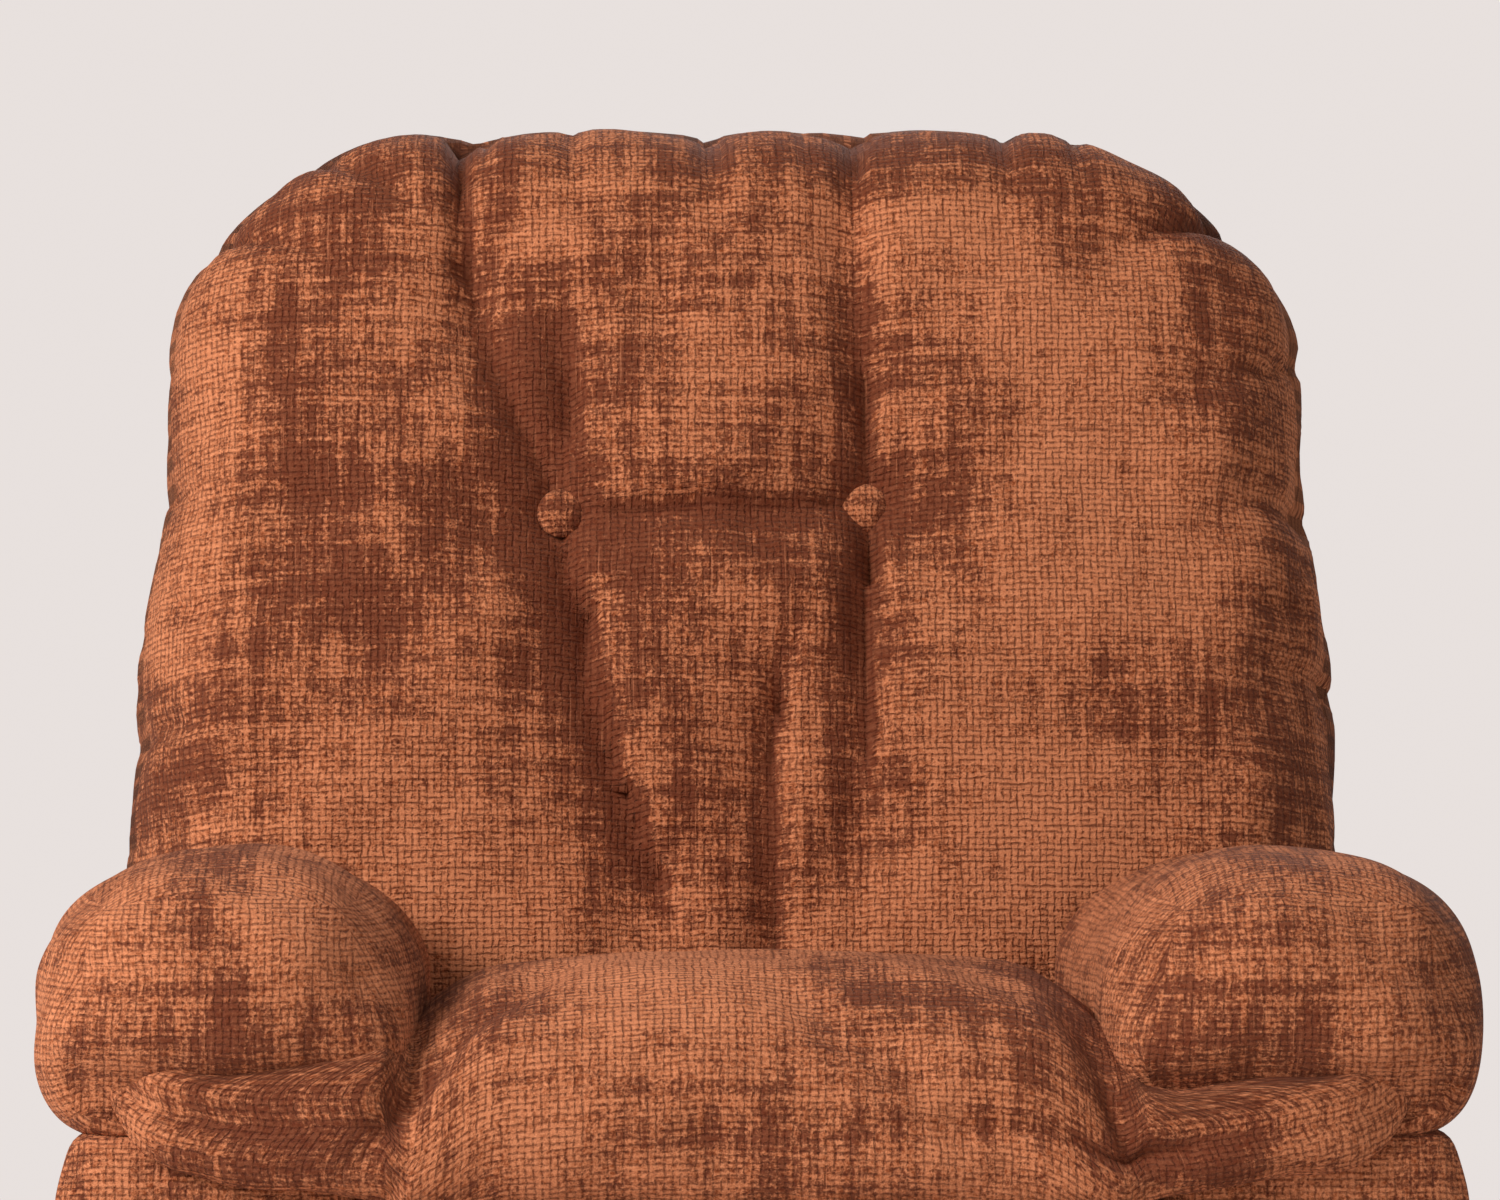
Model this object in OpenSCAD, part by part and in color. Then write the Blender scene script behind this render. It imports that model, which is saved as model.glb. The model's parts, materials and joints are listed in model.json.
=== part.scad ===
// Pillow-arm recliner armchair: reclining back, scissor footrest, side lever.
// Floor at z = 0, front faces -Y, +X is the viewer's right, origin under the middle of the chair.
// "left" nodes are on the -X side.

/* [Overall] */
// Width over the two arm pillows
chair_w = 930; // [775:5:1120]
// Height of the top of the back
chair_h = 1090; // [905:5:1310]

/* [Seat] */
// Thickness of the seat cushion at the crown
seat_t = 157; // [125:1:190]
// How much lower the cushion's sides are than its crown
seat_crown = 26; // [5:1:40]
// Distance from the front edge to the back hinge
seat_d = 727; // [640:1:870]

/* [Arms] */
// Width of one arm pillow
arm_w = 240; // [200:5:285]
// Height of the arm pillow's top above the seat crown
arm_rise = 78; // [50:1:110]
// Height of the arm pillow
pillow_h = 176; // [145:1:210]
// How far the pillow stands out past the side of the arm
arm_inset = 20; // [18:1:30]
// Thickness of the padded cover on the arms
cover_t = 14; // [8:1:18]

/* [Back] */
// Width of the back near its foot
back_w = 872; // [720:2:1040]
// Width of the back below its round shoulders
back_top_w = 812; // [680:2:980]
// Radius of the shoulders
shoulder_r = 125; // [60:5:150]
// Thickness of the back cushion
back_t = 148; // [120:1:180]
// Lean of the back from upright
back_lean = 14; // [8:1:20]
// Diameter of a covered button
button_d = 30; // [20:1:40]

/* [Footrest] */
// Length of one scissor link between its end pivots
link_l = 210; // [175:1:252]
// Link angle with the footrest closed
link_closed = 75; // [72:1:77]
// Link angle with the footrest open
link_open = 22; // [20:1:30]
// Upward tilt of the line the footrest travels on
link_tilt = 8; // [4:1:12]
// Height of the footrest panel
footrest_h = 245; // [200:1:290]
// Thickness of the footrest pad
pad_t = 49; // [35:1:60]

/* [Base] */
// Height of the feet
foot_h = 35; // [20:1:45]
// Radius of the feet
foot_r = 26; // [20:1:30]
// Height of the base rails
base_h = 36; // [28:1:45]

/* [Hardware] */
// Thickness of the steel plates and links
plate_t = 3; // [2:0.5:3.5]
// Gap between neighbouring links
layer_gap = 2.5; // [2:0.5:3.5]
// Width of a link
link_w = 20; // [16:1:24]
// Radius of the link pins
pin_r = 4; // [3:0.5:5]
// Radius of the shaft the lever turns
shaft_r = 8; // [6:0.5:9]
// Radius of the back's hinge pins
hinge_r = 6; // [5:0.5:8]

/* [Hidden] */
$fn = 48;

// Colours
copper = [0.62, 0.36, 0.25];
beech = [0.76, 0.60, 0.42];
ply = [0.70, 0.55, 0.38];
black_steel = [0.13, 0.13, 0.14];
zinc = [0.62, 0.63, 0.65];
black_plastic = [0.07, 0.07, 0.07];
felt = [0.30, 0.29, 0.28];

// Clearances
running = 0.05;      // round a pin or shaft in its hole
soft_gap = 0.5;      // between a cushion and a fixed neighbour
sweep_gap = 6;       // between soft pieces that move past each other
eps = 1;             // how far a cut runs past its piece

// Levels
base_top = foot_h + base_h;
low_pivot = 24;                                     // lowest link pivot above the base
pivot_z = base_top + low_pivot + link_l * sin(link_closed) * cos(link_tilt);
rail_top = pivot_z + 30;
rail_h = 55;
deck_z = rail_top + 8;
deck_t = 3;
seat_z = deck_z + deck_t + soft_gap;
seat_top = seat_z + seat_t;
arm_top = seat_top + arm_rise;
pillow_z = arm_top - pillow_h;
arm_z = foot_h + 15;

// Depths
front_y = -465;
board_t = 12;
board_y = front_y + pad_t;
bracket_back = 43;                                  // from the bracket's flange to its pivot
knee = [board_y + board_t + plate_t + bracket_back, 0];
axis_e = [-cos(link_tilt), sin(link_tilt)];         // along the footrest's travel, as [y, z]
axis_n = [-sin(link_tilt), -cos(link_tilt)];        // square to it, downwards
span = link_l * cos(link_closed);
rise = link_l * sin(link_closed);
rise_open = link_l * sin(link_open);
pivot = [knee[0] + 2 * span * cos(link_tilt), pivot_z];
toe = pivot + 2 * span * axis_e;                    // pivot of the footrest bracket
hinge = [front_y + seat_d, rail_top - 6];
arm_front = front_y + 35;
rail_front = toe[0] - 22;
rail_rear = hinge[0] - 192;
apron_rear = hinge[0] - 17;

// Widths
seat_half = chair_w / 2 - arm_w;
link_room = 37;                                     // between the pillow's inner edge and the arm's side
plate_x = seat_half + 1;
layer = plate_t + layer_gap;
lift_x = plate_x + layer;
cross_x = lift_x + layer;
bracket_x = cross_x + layer;
arm_x0 = seat_half + link_room;
arm_x1 = chair_w / 2 - arm_inset;
board_x0 = arm_x0 + 12;
board_x1 = arm_x1 - cover_t - 2;
ply_t = 12;
rail_t = 25;
base_x = arm_x0 + 28;

// Back, drawn upright in [v, w]: v rearwards from the hinge, w upwards
back_foot = 22;
frame_v = 30;
cushion_v = -frame_v - soft_gap - back_t;
cover_v = frame_v + 2;
top_r = 62;
back_head = top_r + (chair_h - hinge[1] - top_r + (cushion_v + top_r) * sin(back_lean)) / cos(back_lean);
post_t = 35;
post_x = lift_x + plate_t + soft_gap;
post_v = -24;
post_d = 40;
post_top = back_head - 125;
top_rail_half = back_top_w / 2 - 60;
buttons = [[-133, 458], [99, 469]];                 // as [x, w]

// Back's front face at a height, and its foot at a depth
function face_y(z) = hinge[0] + cushion_v / cos(back_lean) + (z - hinge[1]) * tan(back_lean);
function foot_z(y) = hinge[1] + back_foot / cos(back_lean) - (y - hinge[0]) * tan(back_lean);

function arc(c, r, a0, a1, n = 6) = [for (i = [0:n]) c + r * [cos(a0 + (a1 - a0) * i / n), sin(a0 + (a1 - a0) * i / n)]];
function round_box(x0, x1, y0, y1, r) = concat(arc([x1 - r, y1 - r], r, 0, 90), arc([x0 + r, y1 - r], r, 90, 180),
    arc([x0 + r, y0 + r], r, 180, 270), arc([x1 - r, y0 + r], r, 270, 360));
function flip_x(p) = [for (i = [len(p) - 1:-1:0]) [-p[i][0], p[i][1]]];

// A side outline of [y, z] points, from x0 to x1
module side_slab(x0, x1) {
    translate([x0, 0, 0]) rotate([90, 0, 90]) linear_extrude(x1 - x0) children();
}

// A front outline of [x, z] points, from y0 to y1
module front_slab(y0, y1) {
    translate([0, y1, 0]) rotate([90, 0, 0]) linear_extrude(y1 - y0) children();
}

// A box from its lowest corner to its highest
module block(low, high) {
    translate(low) cube(high - low);
}

// What is drawn on the +X side, on either side
module on_side(side) {
    if (side < 0) mirror([1, 0, 0]) children();
    else children();
}

module both_sides() {
    for (side = [-1, 1]) on_side(side) children();
}

// Tilts what is drawn upright in the back's own frame, x across, y as v, z as w
module leaned() {
    translate([0, hinge[0], hinge[1]]) rotate([-back_lean, 0, 0]) children();
}

// A cylinder across the chair at the point p = [y, z]
module rod(p, x0, x1, r) {
    translate([x0, p[0], p[1]]) rotate([0, 90, 0]) cylinder(h = x1 - x0, r = r);
}

// A long hole or a bar: round ends of radius r at p0 and p1
module stadium(p0, p1, r) {
    a = atan2(p1[1] - p0[1], p1[0] - p0[0]);
    polygon(concat(arc(p0, r, a + 90, a + 270, 12), arc(p1, r, a - 90, a + 90, 12)));
}

// ---- Base ----

foot_y = [arm_front + 70, hinge[0] - 90];
cross_y = [pivot[0] - 40, hinge[0] - 112];
cross_d = 50;
bolt_r = 3;
bolt_inset = 15;
flange_w = 30;

module base_rail(side) {
    color(beech) on_side(side)
        block([base_x, arm_front + 30, foot_h], [base_x + 40, apron_rear - 30, base_top]);
}

module base_cross(y) {
    color(beech) difference() {
        block([-base_x, y, foot_h], [base_x, y + cross_d, base_top]);
        both_sides() translate([plate_x - bolt_inset, y + cross_d / 2, foot_h - eps])
            cylinder(h = base_h + 2 * eps, r = bolt_r + running);
    }
}

module feet() {
    color(black_plastic) both_sides() for (y = foot_y)
        translate([base_x + 20, y, 0]) cylinder(h = foot_h, r1 = foot_r - 4, r2 = foot_r);
}

// Bolts through the plates' feet into the base, and through the plates into the seat rails
rail_bolts = [[pivot[0] - 32, pivot_z - 14], [rail_rear - 40, pivot_z + 4]];

module frame_bolts() {
    color(zinc) both_sides() {
        for (y = cross_y) translate([plate_x - bolt_inset, y + cross_d / 2, 0]) {
            translate([0, 0, base_top + plate_t]) cylinder(h = 4, r = 6);
            translate([0, 0, foot_h + 4]) cylinder(h = base_h + plate_t, r = bolt_r);
        }
        for (p = rail_bolts) {
            rod(p, plate_x - rail_t - 2, plate_x + plate_t, bolt_r);
            rod(p, plate_x - rail_t - 5, plate_x - rail_t, 6);
            rod(p, plate_x + plate_t, plate_x + plate_t + 1.6, 6);
        }
    }
}

// ---- Mechanism plates and seat box ----

boss_r = 16;

module mech_plate(side) {
    strip_z = rail_top - 60;
    legs = [[cross_y[0], cross_y[0] + cross_d], [cross_y[1], cross_y[1] + cross_d]];
    slot = [pivot + (rise_open - 3) * axis_n, pivot + (rise + 3) * axis_n];
    color(black_steel) on_side(side) difference() {
        union() {
            side_slab(plate_x, plate_x + plate_t) {
                polygon([[cross_y[0] - 10, strip_z], [hinge[0], hinge[1] - boss_r], [hinge[0], hinge[1] + 6],
                    [hinge[0] - 30, rail_top], [cross_y[0] - 10, rail_top]]);
                polygon([[cross_y[0] - 10, base_top], [cross_y[0] + cross_d, base_top],
                    [cross_y[0] + cross_d, rail_top], [cross_y[0] - 10, rail_top]]);
                polygon([[legs[1][0], base_top], [legs[1][1], base_top],
                    [legs[1][1], hinge[1]], [legs[1][0], hinge[1]]]);
                translate(hinge) circle(boss_r);
            }
            for (leg = legs)
                block([plate_x - flange_w, leg[0], base_top], [plate_x + plate_t, leg[1], base_top + plate_t]);
        }
        rod(pivot, plate_x - eps, plate_x + plate_t + eps, shaft_r + running);
        rod(hinge, plate_x - eps, plate_x + plate_t + eps, hinge_r + running);
        for (p = rail_bolts) rod(p, plate_x - eps, plate_x + plate_t + eps, bolt_r + running);
        for (y = cross_y) translate([plate_x - bolt_inset, y + cross_d / 2, base_top - eps])
            cylinder(h = plate_t + 2 * eps, r = bolt_r + running);
        side_slab(plate_x - eps, plate_x + plate_t + eps) stadium(slot[0], slot[1], pin_r + 0.3);
    }
}

module seat_rail(side) {
    color(beech) on_side(side) difference() {
        block([plate_x - rail_t, rail_front, rail_top - rail_h], [plate_x, rail_rear, rail_top]);
        rod(pivot, plate_x - rail_t - eps, plate_x + eps, shaft_r + 2);
        for (p = rail_bolts) rod(p, plate_x - rail_t - eps, plate_x + eps, bolt_r + running);
    }
}

module seat_cross_rail(y) {
    color(beech) block([rail_t - plate_x, y, rail_top - rail_h], [plate_x - rail_t, y + rail_t, rail_top]);
}

spring_count = 5;
spring_pitch = 32;
spring_swing = 24;
wire = 1.9;
spring_y = [rail_front + rail_t / 2, rail_rear - rail_t / 2];
spring_x = [for (i = [0:spring_count - 1]) (i - (spring_count - 1) / 2) * (2 * seat_half - 130) / (spring_count - 1)];

// One sinuous spring seen from above, a wave between two straight ends
module spring_outline() {
    wave_len = spring_y[1] - spring_y[0] - 40;
    waves = round(wave_len / spring_pitch);
    steps = waves * 8;
    line = concat([[0, spring_y[0]]],
        [for (i = [0:steps]) [spring_swing * sin(i * 45), spring_y[0] + 20 + wave_len * i / steps]],
        [[0, spring_y[1]]]);
    last = len(line) - 1;
    side = [for (i = [0:last]) let (d = line[min(i + 1, last)] - line[max(i - 1, 0)]) wire * [d[1], -d[0]] / norm(d)];
    polygon(concat([for (i = [0:last]) line[i] + side[i]], [for (i = [last:-1:0]) line[i] - side[i]]));
}

module seat_springs() {
    color(zinc) for (x = spring_x) translate([x, 0, rail_top]) linear_extrude(2 * wire) spring_outline();
}

module spring_clips() {
    color(black_plastic) for (x = spring_x) for (y = spring_y) difference() {
        block([x - 9, y - 8, rail_top], [x + 9, y + 8, rail_top + 6]);
        block([x - wire - 0.2, y - 8 - eps, rail_top - eps], [x + wire + 0.2, y + 8 + eps, rail_top + 2 * wire + 0.2]);
    }
}

module seat_deck() {
    color(felt) block([1 - plate_x, rail_front, deck_z], [plate_x - 1, rail_rear - 2, deck_z + deck_t]);
}

// Front band's lower edge, clear of the footrest as it swings out
band_z = toe[1] + 34;
band_back = arm_front - 1.5;

module seat_cushion() {
    wide = arm_x0 - 4;
    narrow = seat_half - 1.5;
    step_z = pillow_z - 14;
    edge_z = seat_top - seat_crown;
    crown = [for (i = [0:10]) let (x = narrow - 12 - (narrow - 12) * i / 5)
        [x, seat_top - seat_crown * 0.7 * pow(x / narrow, 2)]];
    knee_z = seat_z + 75;
    rear_low = face_y(knee_z) - 2;
    tip = seat_top - 46;
    right_ear = [[seat_half - 20, band_z], [seat_half + 50, band_z + 9], [arm_x1 - 98, band_z + 23],
        [arm_x1 - 40, band_z + 39], [arm_x1 - 22, band_z + 68], [arm_x1 - 27, tip], [arm_x1 - 85, tip - 9],
        [seat_half + 69, tip - 19], [seat_half + 11, tip - 33]];
    color(copper) union() {
        intersection() {
            front_slab(front_y, face_y(seat_top) + eps)
                polygon(concat([[wide, seat_z], [wide, step_z - 6], [narrow, step_z + 4], [narrow, edge_z]], crown,
                    [[-narrow, edge_z], [-narrow, step_z + 4], [-wide, step_z - 6], [-wide, seat_z]]));
            side_slab(-wide - eps, wide + eps)
                polygon(concat([[front_y, band_z + 10]], arc([front_y + 52, seat_top - 66], 52, 180, 90),
                    [[front_y + 150, seat_top - 4], [front_y + 260, seat_top + eps],
                    [face_y(seat_top) - 2, seat_top + eps], [rear_low, knee_z], [rear_low, seat_z],
                    [rail_front + 2, seat_z], [rail_front - 2, band_z], [front_y + 10, band_z]]));
        }
        front_slab(front_y, band_back)
            polygon(concat(right_ear, flip_x(right_ear)));
    }
}

module rear_apron() {
    color(copper) block([2 - plate_x, apron_rear - 18, arm_z + 20], [plate_x - 2, apron_rear, hinge[1] - 20]);
}

// ---- Arms ----

// Side outline of an arm, drawn in from its outside by m
function arm_side(m, low) = [[arm_front + m, low], [apron_rear - m, low],
    [apron_rear - m, foot_z(apron_rear) - 12 - m], [face_y(pillow_z) - sweep_gap - 12 - m, foot_z(face_y(pillow_z) - 18) - 12 - m],
    [face_y(pillow_z) - sweep_gap - 12 - m, pillow_z - soft_gap - m], [arm_front + m, pillow_z - soft_gap - m]];
shaft_hole_r = shaft_r + 4;

module arm_inner(side) {
    color(ply) on_side(side) difference() {
        side_slab(board_x0, board_x0 + ply_t) polygon(arm_side(cover_t + 2 + ply_t, base_top));
        if (side < 0) rod(pivot, board_x0 - eps, board_x0 + ply_t + eps, shaft_hole_r);
    }
}

module arm_panel(side) {
    color(ply) on_side(side) difference() {
        side_slab(board_x1 - ply_t, board_x1) polygon(arm_side(cover_t + 2 + ply_t, base_top));
        if (side < 0) rod(pivot, board_x1 - ply_t - eps, board_x1 + eps, shaft_hole_r);
    }
}

module arm_board(side) {
    z1 = pillow_z - soft_gap - cover_t - 2;
    color(beech) on_side(side)
        block([board_x0, arm_front + cover_t + 2, z1 - ply_t], [board_x1, face_y(pillow_z) - 50, z1]);
}

module arm_cover(side) {
    color(copper) on_side(side) difference() {
        side_slab(arm_x0, arm_x1) polygon(arm_side(0, arm_z));
        side_slab(board_x0 - 2, board_x1 + 2) polygon(arm_side(cover_t, arm_z - 2 * cover_t));
        for (y = cross_y)
            block([arm_x0 - eps, y - 2, arm_z - eps], [board_x0, y + cross_d + 2, base_top + 2]);
        if (side < 0) rod(pivot, arm_x0 - eps, arm_x1 + eps, shaft_hole_r);
    }
}

module arm_pillow(side) {
    x0 = chair_w / 2 - arm_w;
    x1 = chair_w / 2;
    y0 = front_y + 7;
    y1 = face_y(arm_top) - sweep_gap;
    drop = (arm_top - pillow_z) * tan(back_lean);
    ear_top = seat_top - 42;
    color(copper) on_side(side) difference() {
        intersection() {
            front_slab(y0, y1) polygon(round_box(x0, x1, pillow_z, arm_top, pillow_h * 0.46));
            side_slab(x0, x1)
                polygon(concat(arc([y0 + 72, pillow_z + 72], 72, 180, 270), [[y1 - drop - 12, pillow_z]],
                    [[y1 - drop * 0.75, pillow_z + 20], [y1 - 14, arm_top - 44], [y1 - 26, arm_top - 12],
                    [y1 - 50, arm_top]], arc([y0 + 72, arm_top - 72], 72, 90, 180)));
            translate([0, 0, pillow_z]) linear_extrude(pillow_h) polygon(round_box(x0, x1, y0, y1, 62));
        }
        block([x0 - eps, y0 - eps, pillow_z - eps], [arm_x1 - 18, arm_front, ear_top]);
    }
}

// ---- Lever and shaft ----

lever_l = 128;
lever_drop = 25;                                    // lever points this far below level at rest
bezel_t = 3;
lever_x = [arm_x1 + bezel_t + 1, chair_w / 2 - 2];

module lever_bezel() {
    color(black_plastic) on_side(-1) difference() {
        rod(pivot, arm_x1, arm_x1 + bezel_t, 30);
        rod(pivot, arm_x1 - eps, arm_x1 + bezel_t + eps, shaft_hole_r);
    }
}

module drive_shaft() {
    color(zinc) rod(pivot, 2 - chair_w / 2, lift_x + plate_t + 2, shaft_r);
}

// A round hub, a waist and a paddle with a round end
module lever_outline() {
    hub_r = 19;
    waist = [0.42 * lever_l, 9];
    grip_r = 14;
    right = concat(arc([0, 0], hub_r, 270, 310, 4), [[waist[0], -waist[1]], [0.72 * lever_l, -grip_r]],
        arc([lever_l, 0], grip_r, -90, 90, 10), [[0.72 * lever_l, grip_r], waist], arc([0, 0], hub_r, 50, 270, 16));
    translate(pivot) rotate(180 + lever_drop) polygon(right);
}

module lever_handle() {
    color(beech) on_side(-1) difference() {
        side_slab(lever_x[0], lever_x[1]) lever_outline();
        rod(pivot, lever_x[0] - eps, lever_x[1] + eps, shaft_r + running);
    }
}

// ---- Scissor links ----
// Two crossed pairs: lift and cross from the plate, then front and carry to the footrest bracket.

lift_end = pivot + span * axis_e + rise * axis_n;
cross_foot = pivot + rise * axis_n;
cross_head = pivot + span * axis_e;
carry_end = toe + rise * axis_n;
lift_mid = (pivot + lift_end) / 2;
front_mid = (lift_end + toe) / 2;

module link(x, ends, holes, boss = 0) {
    difference() {
        side_slab(x, x + plate_t) {
            stadium(ends[0], ends[1], link_w / 2);
            if (boss > 0) translate(ends[0]) circle(boss);
        }
        for (h = holes) rod(h[0], x - eps, x + plate_t + eps, h[1] + running);
    }
}

module lift_link(side) {
    color(black_steel) on_side(side)
        link(lift_x, [pivot, lift_end], [[pivot, shaft_r], [lift_mid, pin_r], [lift_end, pin_r]], shaft_r + 6);
}

module cross_link(side) {
    color(black_steel) on_side(side)
        link(cross_x, [cross_foot, cross_head], [[cross_foot, pin_r], [lift_mid, pin_r], [cross_head, pin_r]]);
}

module front_link(side) {
    color(black_steel) on_side(side)
        link(cross_x, [lift_end, toe], [[lift_end, pin_r], [front_mid, pin_r], [toe, pin_r]]);
}

module carry_link(side) {
    color(black_steel) on_side(side)
        link(lift_x, [cross_head, carry_end], [[cross_head, pin_r], [front_mid, pin_r], [carry_end, pin_r]]);
}

head_t = 1.5;
head_gap = 0.2;

// A rivet from x0 to x1 with a head outside each end, and a spacer between the two layers
module rivet(p, x0, x1, spacer = true) {
    rod(p, x0 - head_gap, x1 + head_gap, pin_r);
    rod(p, x0 - head_gap - head_t, x0 - head_gap, pin_r + 2.5);
    rod(p, x1 + head_gap, x1 + head_gap + head_t, pin_r + 2.5);
    if (spacer) rod(p, lift_x + plate_t + head_gap, cross_x - head_gap, pin_r + 3);
}

module lift_pins() {
    color(zinc) both_sides() for (p = [lift_mid, lift_end]) rivet(p, lift_x, cross_x + plate_t);
}

module cross_pins() {
    color(zinc) both_sides() {
        rivet(cross_foot, plate_x, cross_x + plate_t);
        rivet(cross_head, lift_x, cross_x + plate_t);
    }
}

module front_pins() {
    color(zinc) both_sides() {
        rivet(front_mid, lift_x, cross_x + plate_t);
        rivet(toe, cross_x, bracket_x + plate_t, false);
        rod(toe, cross_x + plate_t + head_gap, bracket_x - head_gap, pin_r + 3);
    }
}

module carry_pins() {
    color(zinc) both_sides() rivet(carry_end, lift_x, bracket_x + plate_t, false);
}

// ---- Footrest ----

flange_x = bracket_x - 36;
flange_y = board_y + board_t;
footrest_top = toe[1] + 5;
footrest_low = footrest_top - footrest_h;
footrest_half = arm_x0 - 6;
screw_z = [footrest_top - 30, footrest_top - footrest_h / 2, footrest_low + 40];
screw_r = 2;

// The carry pin's path on the bracket: its distance from the toe shrinks as it turns from down to rearwards
function cam(t) = let (r = link_l * sin(link_closed + (link_open - link_closed) * t),
    a = atan2(axis_n[1], axis_n[0]) + 90 * t) toe + r * [cos(a), sin(a)];
cam_steps = 32;
function cam_side(t, r) = let (d = cam(t + 0.01) - cam(t - 0.01)) cam(t) + r * [d[1], -d[0]] / norm(d);

module cam_band(r) {
    polygon(concat([for (i = [0:cam_steps]) cam_side(i / cam_steps, r)],
        [for (i = [cam_steps:-1:0]) cam_side(i / cam_steps, -r)]));
    translate(cam(0)) circle(r);
    translate(cam(1)) circle(r);
}

module footrest_bracket(side) {
    wall = pin_r + 5;
    color(black_steel) on_side(side) difference() {
        union() {
            side_slab(bracket_x, bracket_x + plate_t) {
                cam_band(wall);
                polygon(concat([[flange_y, footrest_top], [flange_y, cam(0)[1] - 20], cam(0)],
                    [for (i = [1:cam_steps]) cam(i / cam_steps)], [toe + [0, 12], [toe[0], footrest_top]]));
                translate(toe) circle(12);
            }
            block([flange_x, flange_y, footrest_low + 20], [bracket_x + plate_t, flange_y + plate_t, footrest_top]);
        }
        rod(toe, bracket_x - eps, bracket_x + plate_t + eps, pin_r + running);
        side_slab(bracket_x - eps, bracket_x + plate_t + eps) cam_band(pin_r + 0.3);
        for (z = screw_z) translate([flange_x + 12, flange_y - eps, z]) rotate([-90, 0, 0])
            cylinder(h = plate_t + 2 * eps, r = screw_r + running);
    }
}

module footrest_board() {
    color(ply) difference() {
        block([-footrest_half + 8, board_y, footrest_low + 6], [footrest_half - 8, flange_y, footrest_top - 3]);
        both_sides() for (z = screw_z) translate([flange_x + 12, board_y + 3, z]) rotate([-90, 0, 0])
            cylinder(h = board_t, r = screw_r + running);
    }
}

module footrest_screws() {
    color(zinc) both_sides() for (z = screw_z) translate([flange_x + 12, 0, z]) rotate([-90, 0, 0]) {
        translate([0, 0, board_y + 4]) cylinder(h = board_t - 4 + plate_t, r = screw_r);
        translate([0, 0, flange_y + plate_t]) cylinder(h = 2.4, r = 5);
    }
}

module footrest_pad() {
    color(copper) intersection() {
        front_slab(front_y, board_y - soft_gap)
            polygon(round_box(-footrest_half, footrest_half, footrest_low, footrest_top, 26));
        side_slab(-footrest_half - eps, footrest_half + eps)
            polygon(concat(arc([front_y + 22, footrest_top - 22], 22, 90, 180),
                arc([front_y + 22, footrest_low + 22], 22, 180, 270),
                [[board_y - soft_gap, footrest_low], [board_y - soft_gap, footrest_top]]));
    }
}

// ---- Back ----

// Front outline of the back, drawn in from its edge by m
function back_outline(m) = let (
    h0 = back_w / 2 - m, h1 = back_top_w / 2 - m, w0 = back_foot + m, w1 = back_head - m, rs = shoulder_r - m / 2,
    right = concat(arc([h0 - 45, w0 + 40], 40, -90, 0), [for (i = [1:5]) let (t = i / 6)
        [h0 + (h1 - h0) * t * t, w0 + 60 + (w1 - rs - w0 - 60) * t]], arc([h1 - rs, w1 - rs], rs, 0, 90, 9)))
    concat(right, flip_x(right));

// Side outline of the cushion, in [v, w]
cushion_side = concat([[-frame_v - soft_gap, back_foot], [-frame_v - soft_gap, back_head]],
    arc([cushion_v + top_r, back_head - top_r], top_r, 90, 180),
    arc([cushion_v + 40, back_foot + 40], 40, 180, 270));

// Side outline of the rear cover
cover_side = concat([[-frame_v, back_foot], [cover_v - 12, back_foot]],
    arc([cover_v - 46, back_head - 12 - 46], 46, 0, 90), [[-frame_v, back_head - 12]]);

module back_cushion() {
    color(copper) leaned() difference() {
        intersection() {
            front_slab(cushion_v, -frame_v - soft_gap) polygon(back_outline(0));
            side_slab(-back_w / 2, back_w / 2) polygon(cushion_side);
        }
        for (b = buttons) translate([b[0], cushion_v - eps, b[1]]) rotate([-90, 0, 0])
            cylinder(h = 20 + eps, r = button_d / 2 + 2);
    }
}

module tuft_buttons() {
    color(copper) leaned() for (b = buttons) translate([b[0], cushion_v + 5, b[1]]) rotate([-90, 0, 0])
        cylinder(h = 15, r = button_d / 2);
}

module back_cover() {
    hollow = 24;
    mouth = post_x + post_t + 12;
    color(copper) leaned() difference() {
        intersection() {
            front_slab(-frame_v, cover_v) polygon(back_outline(6));
            side_slab(-back_w / 2, back_w / 2) polygon(cover_side);
        }
        front_slab(-frame_v - eps, cover_v - 12) polygon(back_outline(hollow));
        block([-mouth, -frame_v - eps, back_foot - eps], [mouth, cover_v - 12, back_foot + 2 * hollow]);
    }
}

module back_post(side) {
    color(beech) leaned() on_side(side)
        block([post_x, post_v, back_foot + 8], [post_x + post_t, post_v + post_d, post_top]);
}

module back_rail_top() {
    color(beech) leaned() block([-top_rail_half, post_v, post_top], [top_rail_half, post_v + post_d, post_top + 42]);
}

module back_rail_bottom() {
    color(beech) leaned() block([2 - lift_x, post_v, back_foot + 30], [lift_x - 2, post_v + post_d, back_foot + 72]);
}

module back_webbing() {
    bands = 5;
    low = back_foot + 90;
    step = (post_top - low - 60) / (bands - 1);
    color(felt) leaned() for (i = [0:bands - 1]) translate([0, 0, low + i * step])
        block([-post_x - post_t + 2, post_v - 2, 0], [post_x + post_t - 2, post_v, 52]);
}

// Steel strap from the hinge up the inside of the post
module hinge_bracket(side) {
    color(black_steel) leaned() on_side(side) difference() {
        side_slab(lift_x, lift_x + plate_t) {
            circle(boss_r - 1);
            polygon([[-14, 0], [14, 0], [14, 190], [-14, 190]]);
        }
        rod([0, 0], lift_x - eps, lift_x + plate_t + eps, hinge_r + running);
    }
}

module hinge_pins() {
    color(zinc) both_sides() {
        rod(hinge, plate_x - 1.8, lift_x + plate_t + 1.5, hinge_r);
        rod(hinge, plate_x - 3.8, plate_x - 0.3, hinge_r + 4);
        rod(hinge, plate_x + plate_t + head_gap, lift_x - head_gap, hinge_r + 3);
    }
}

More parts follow.
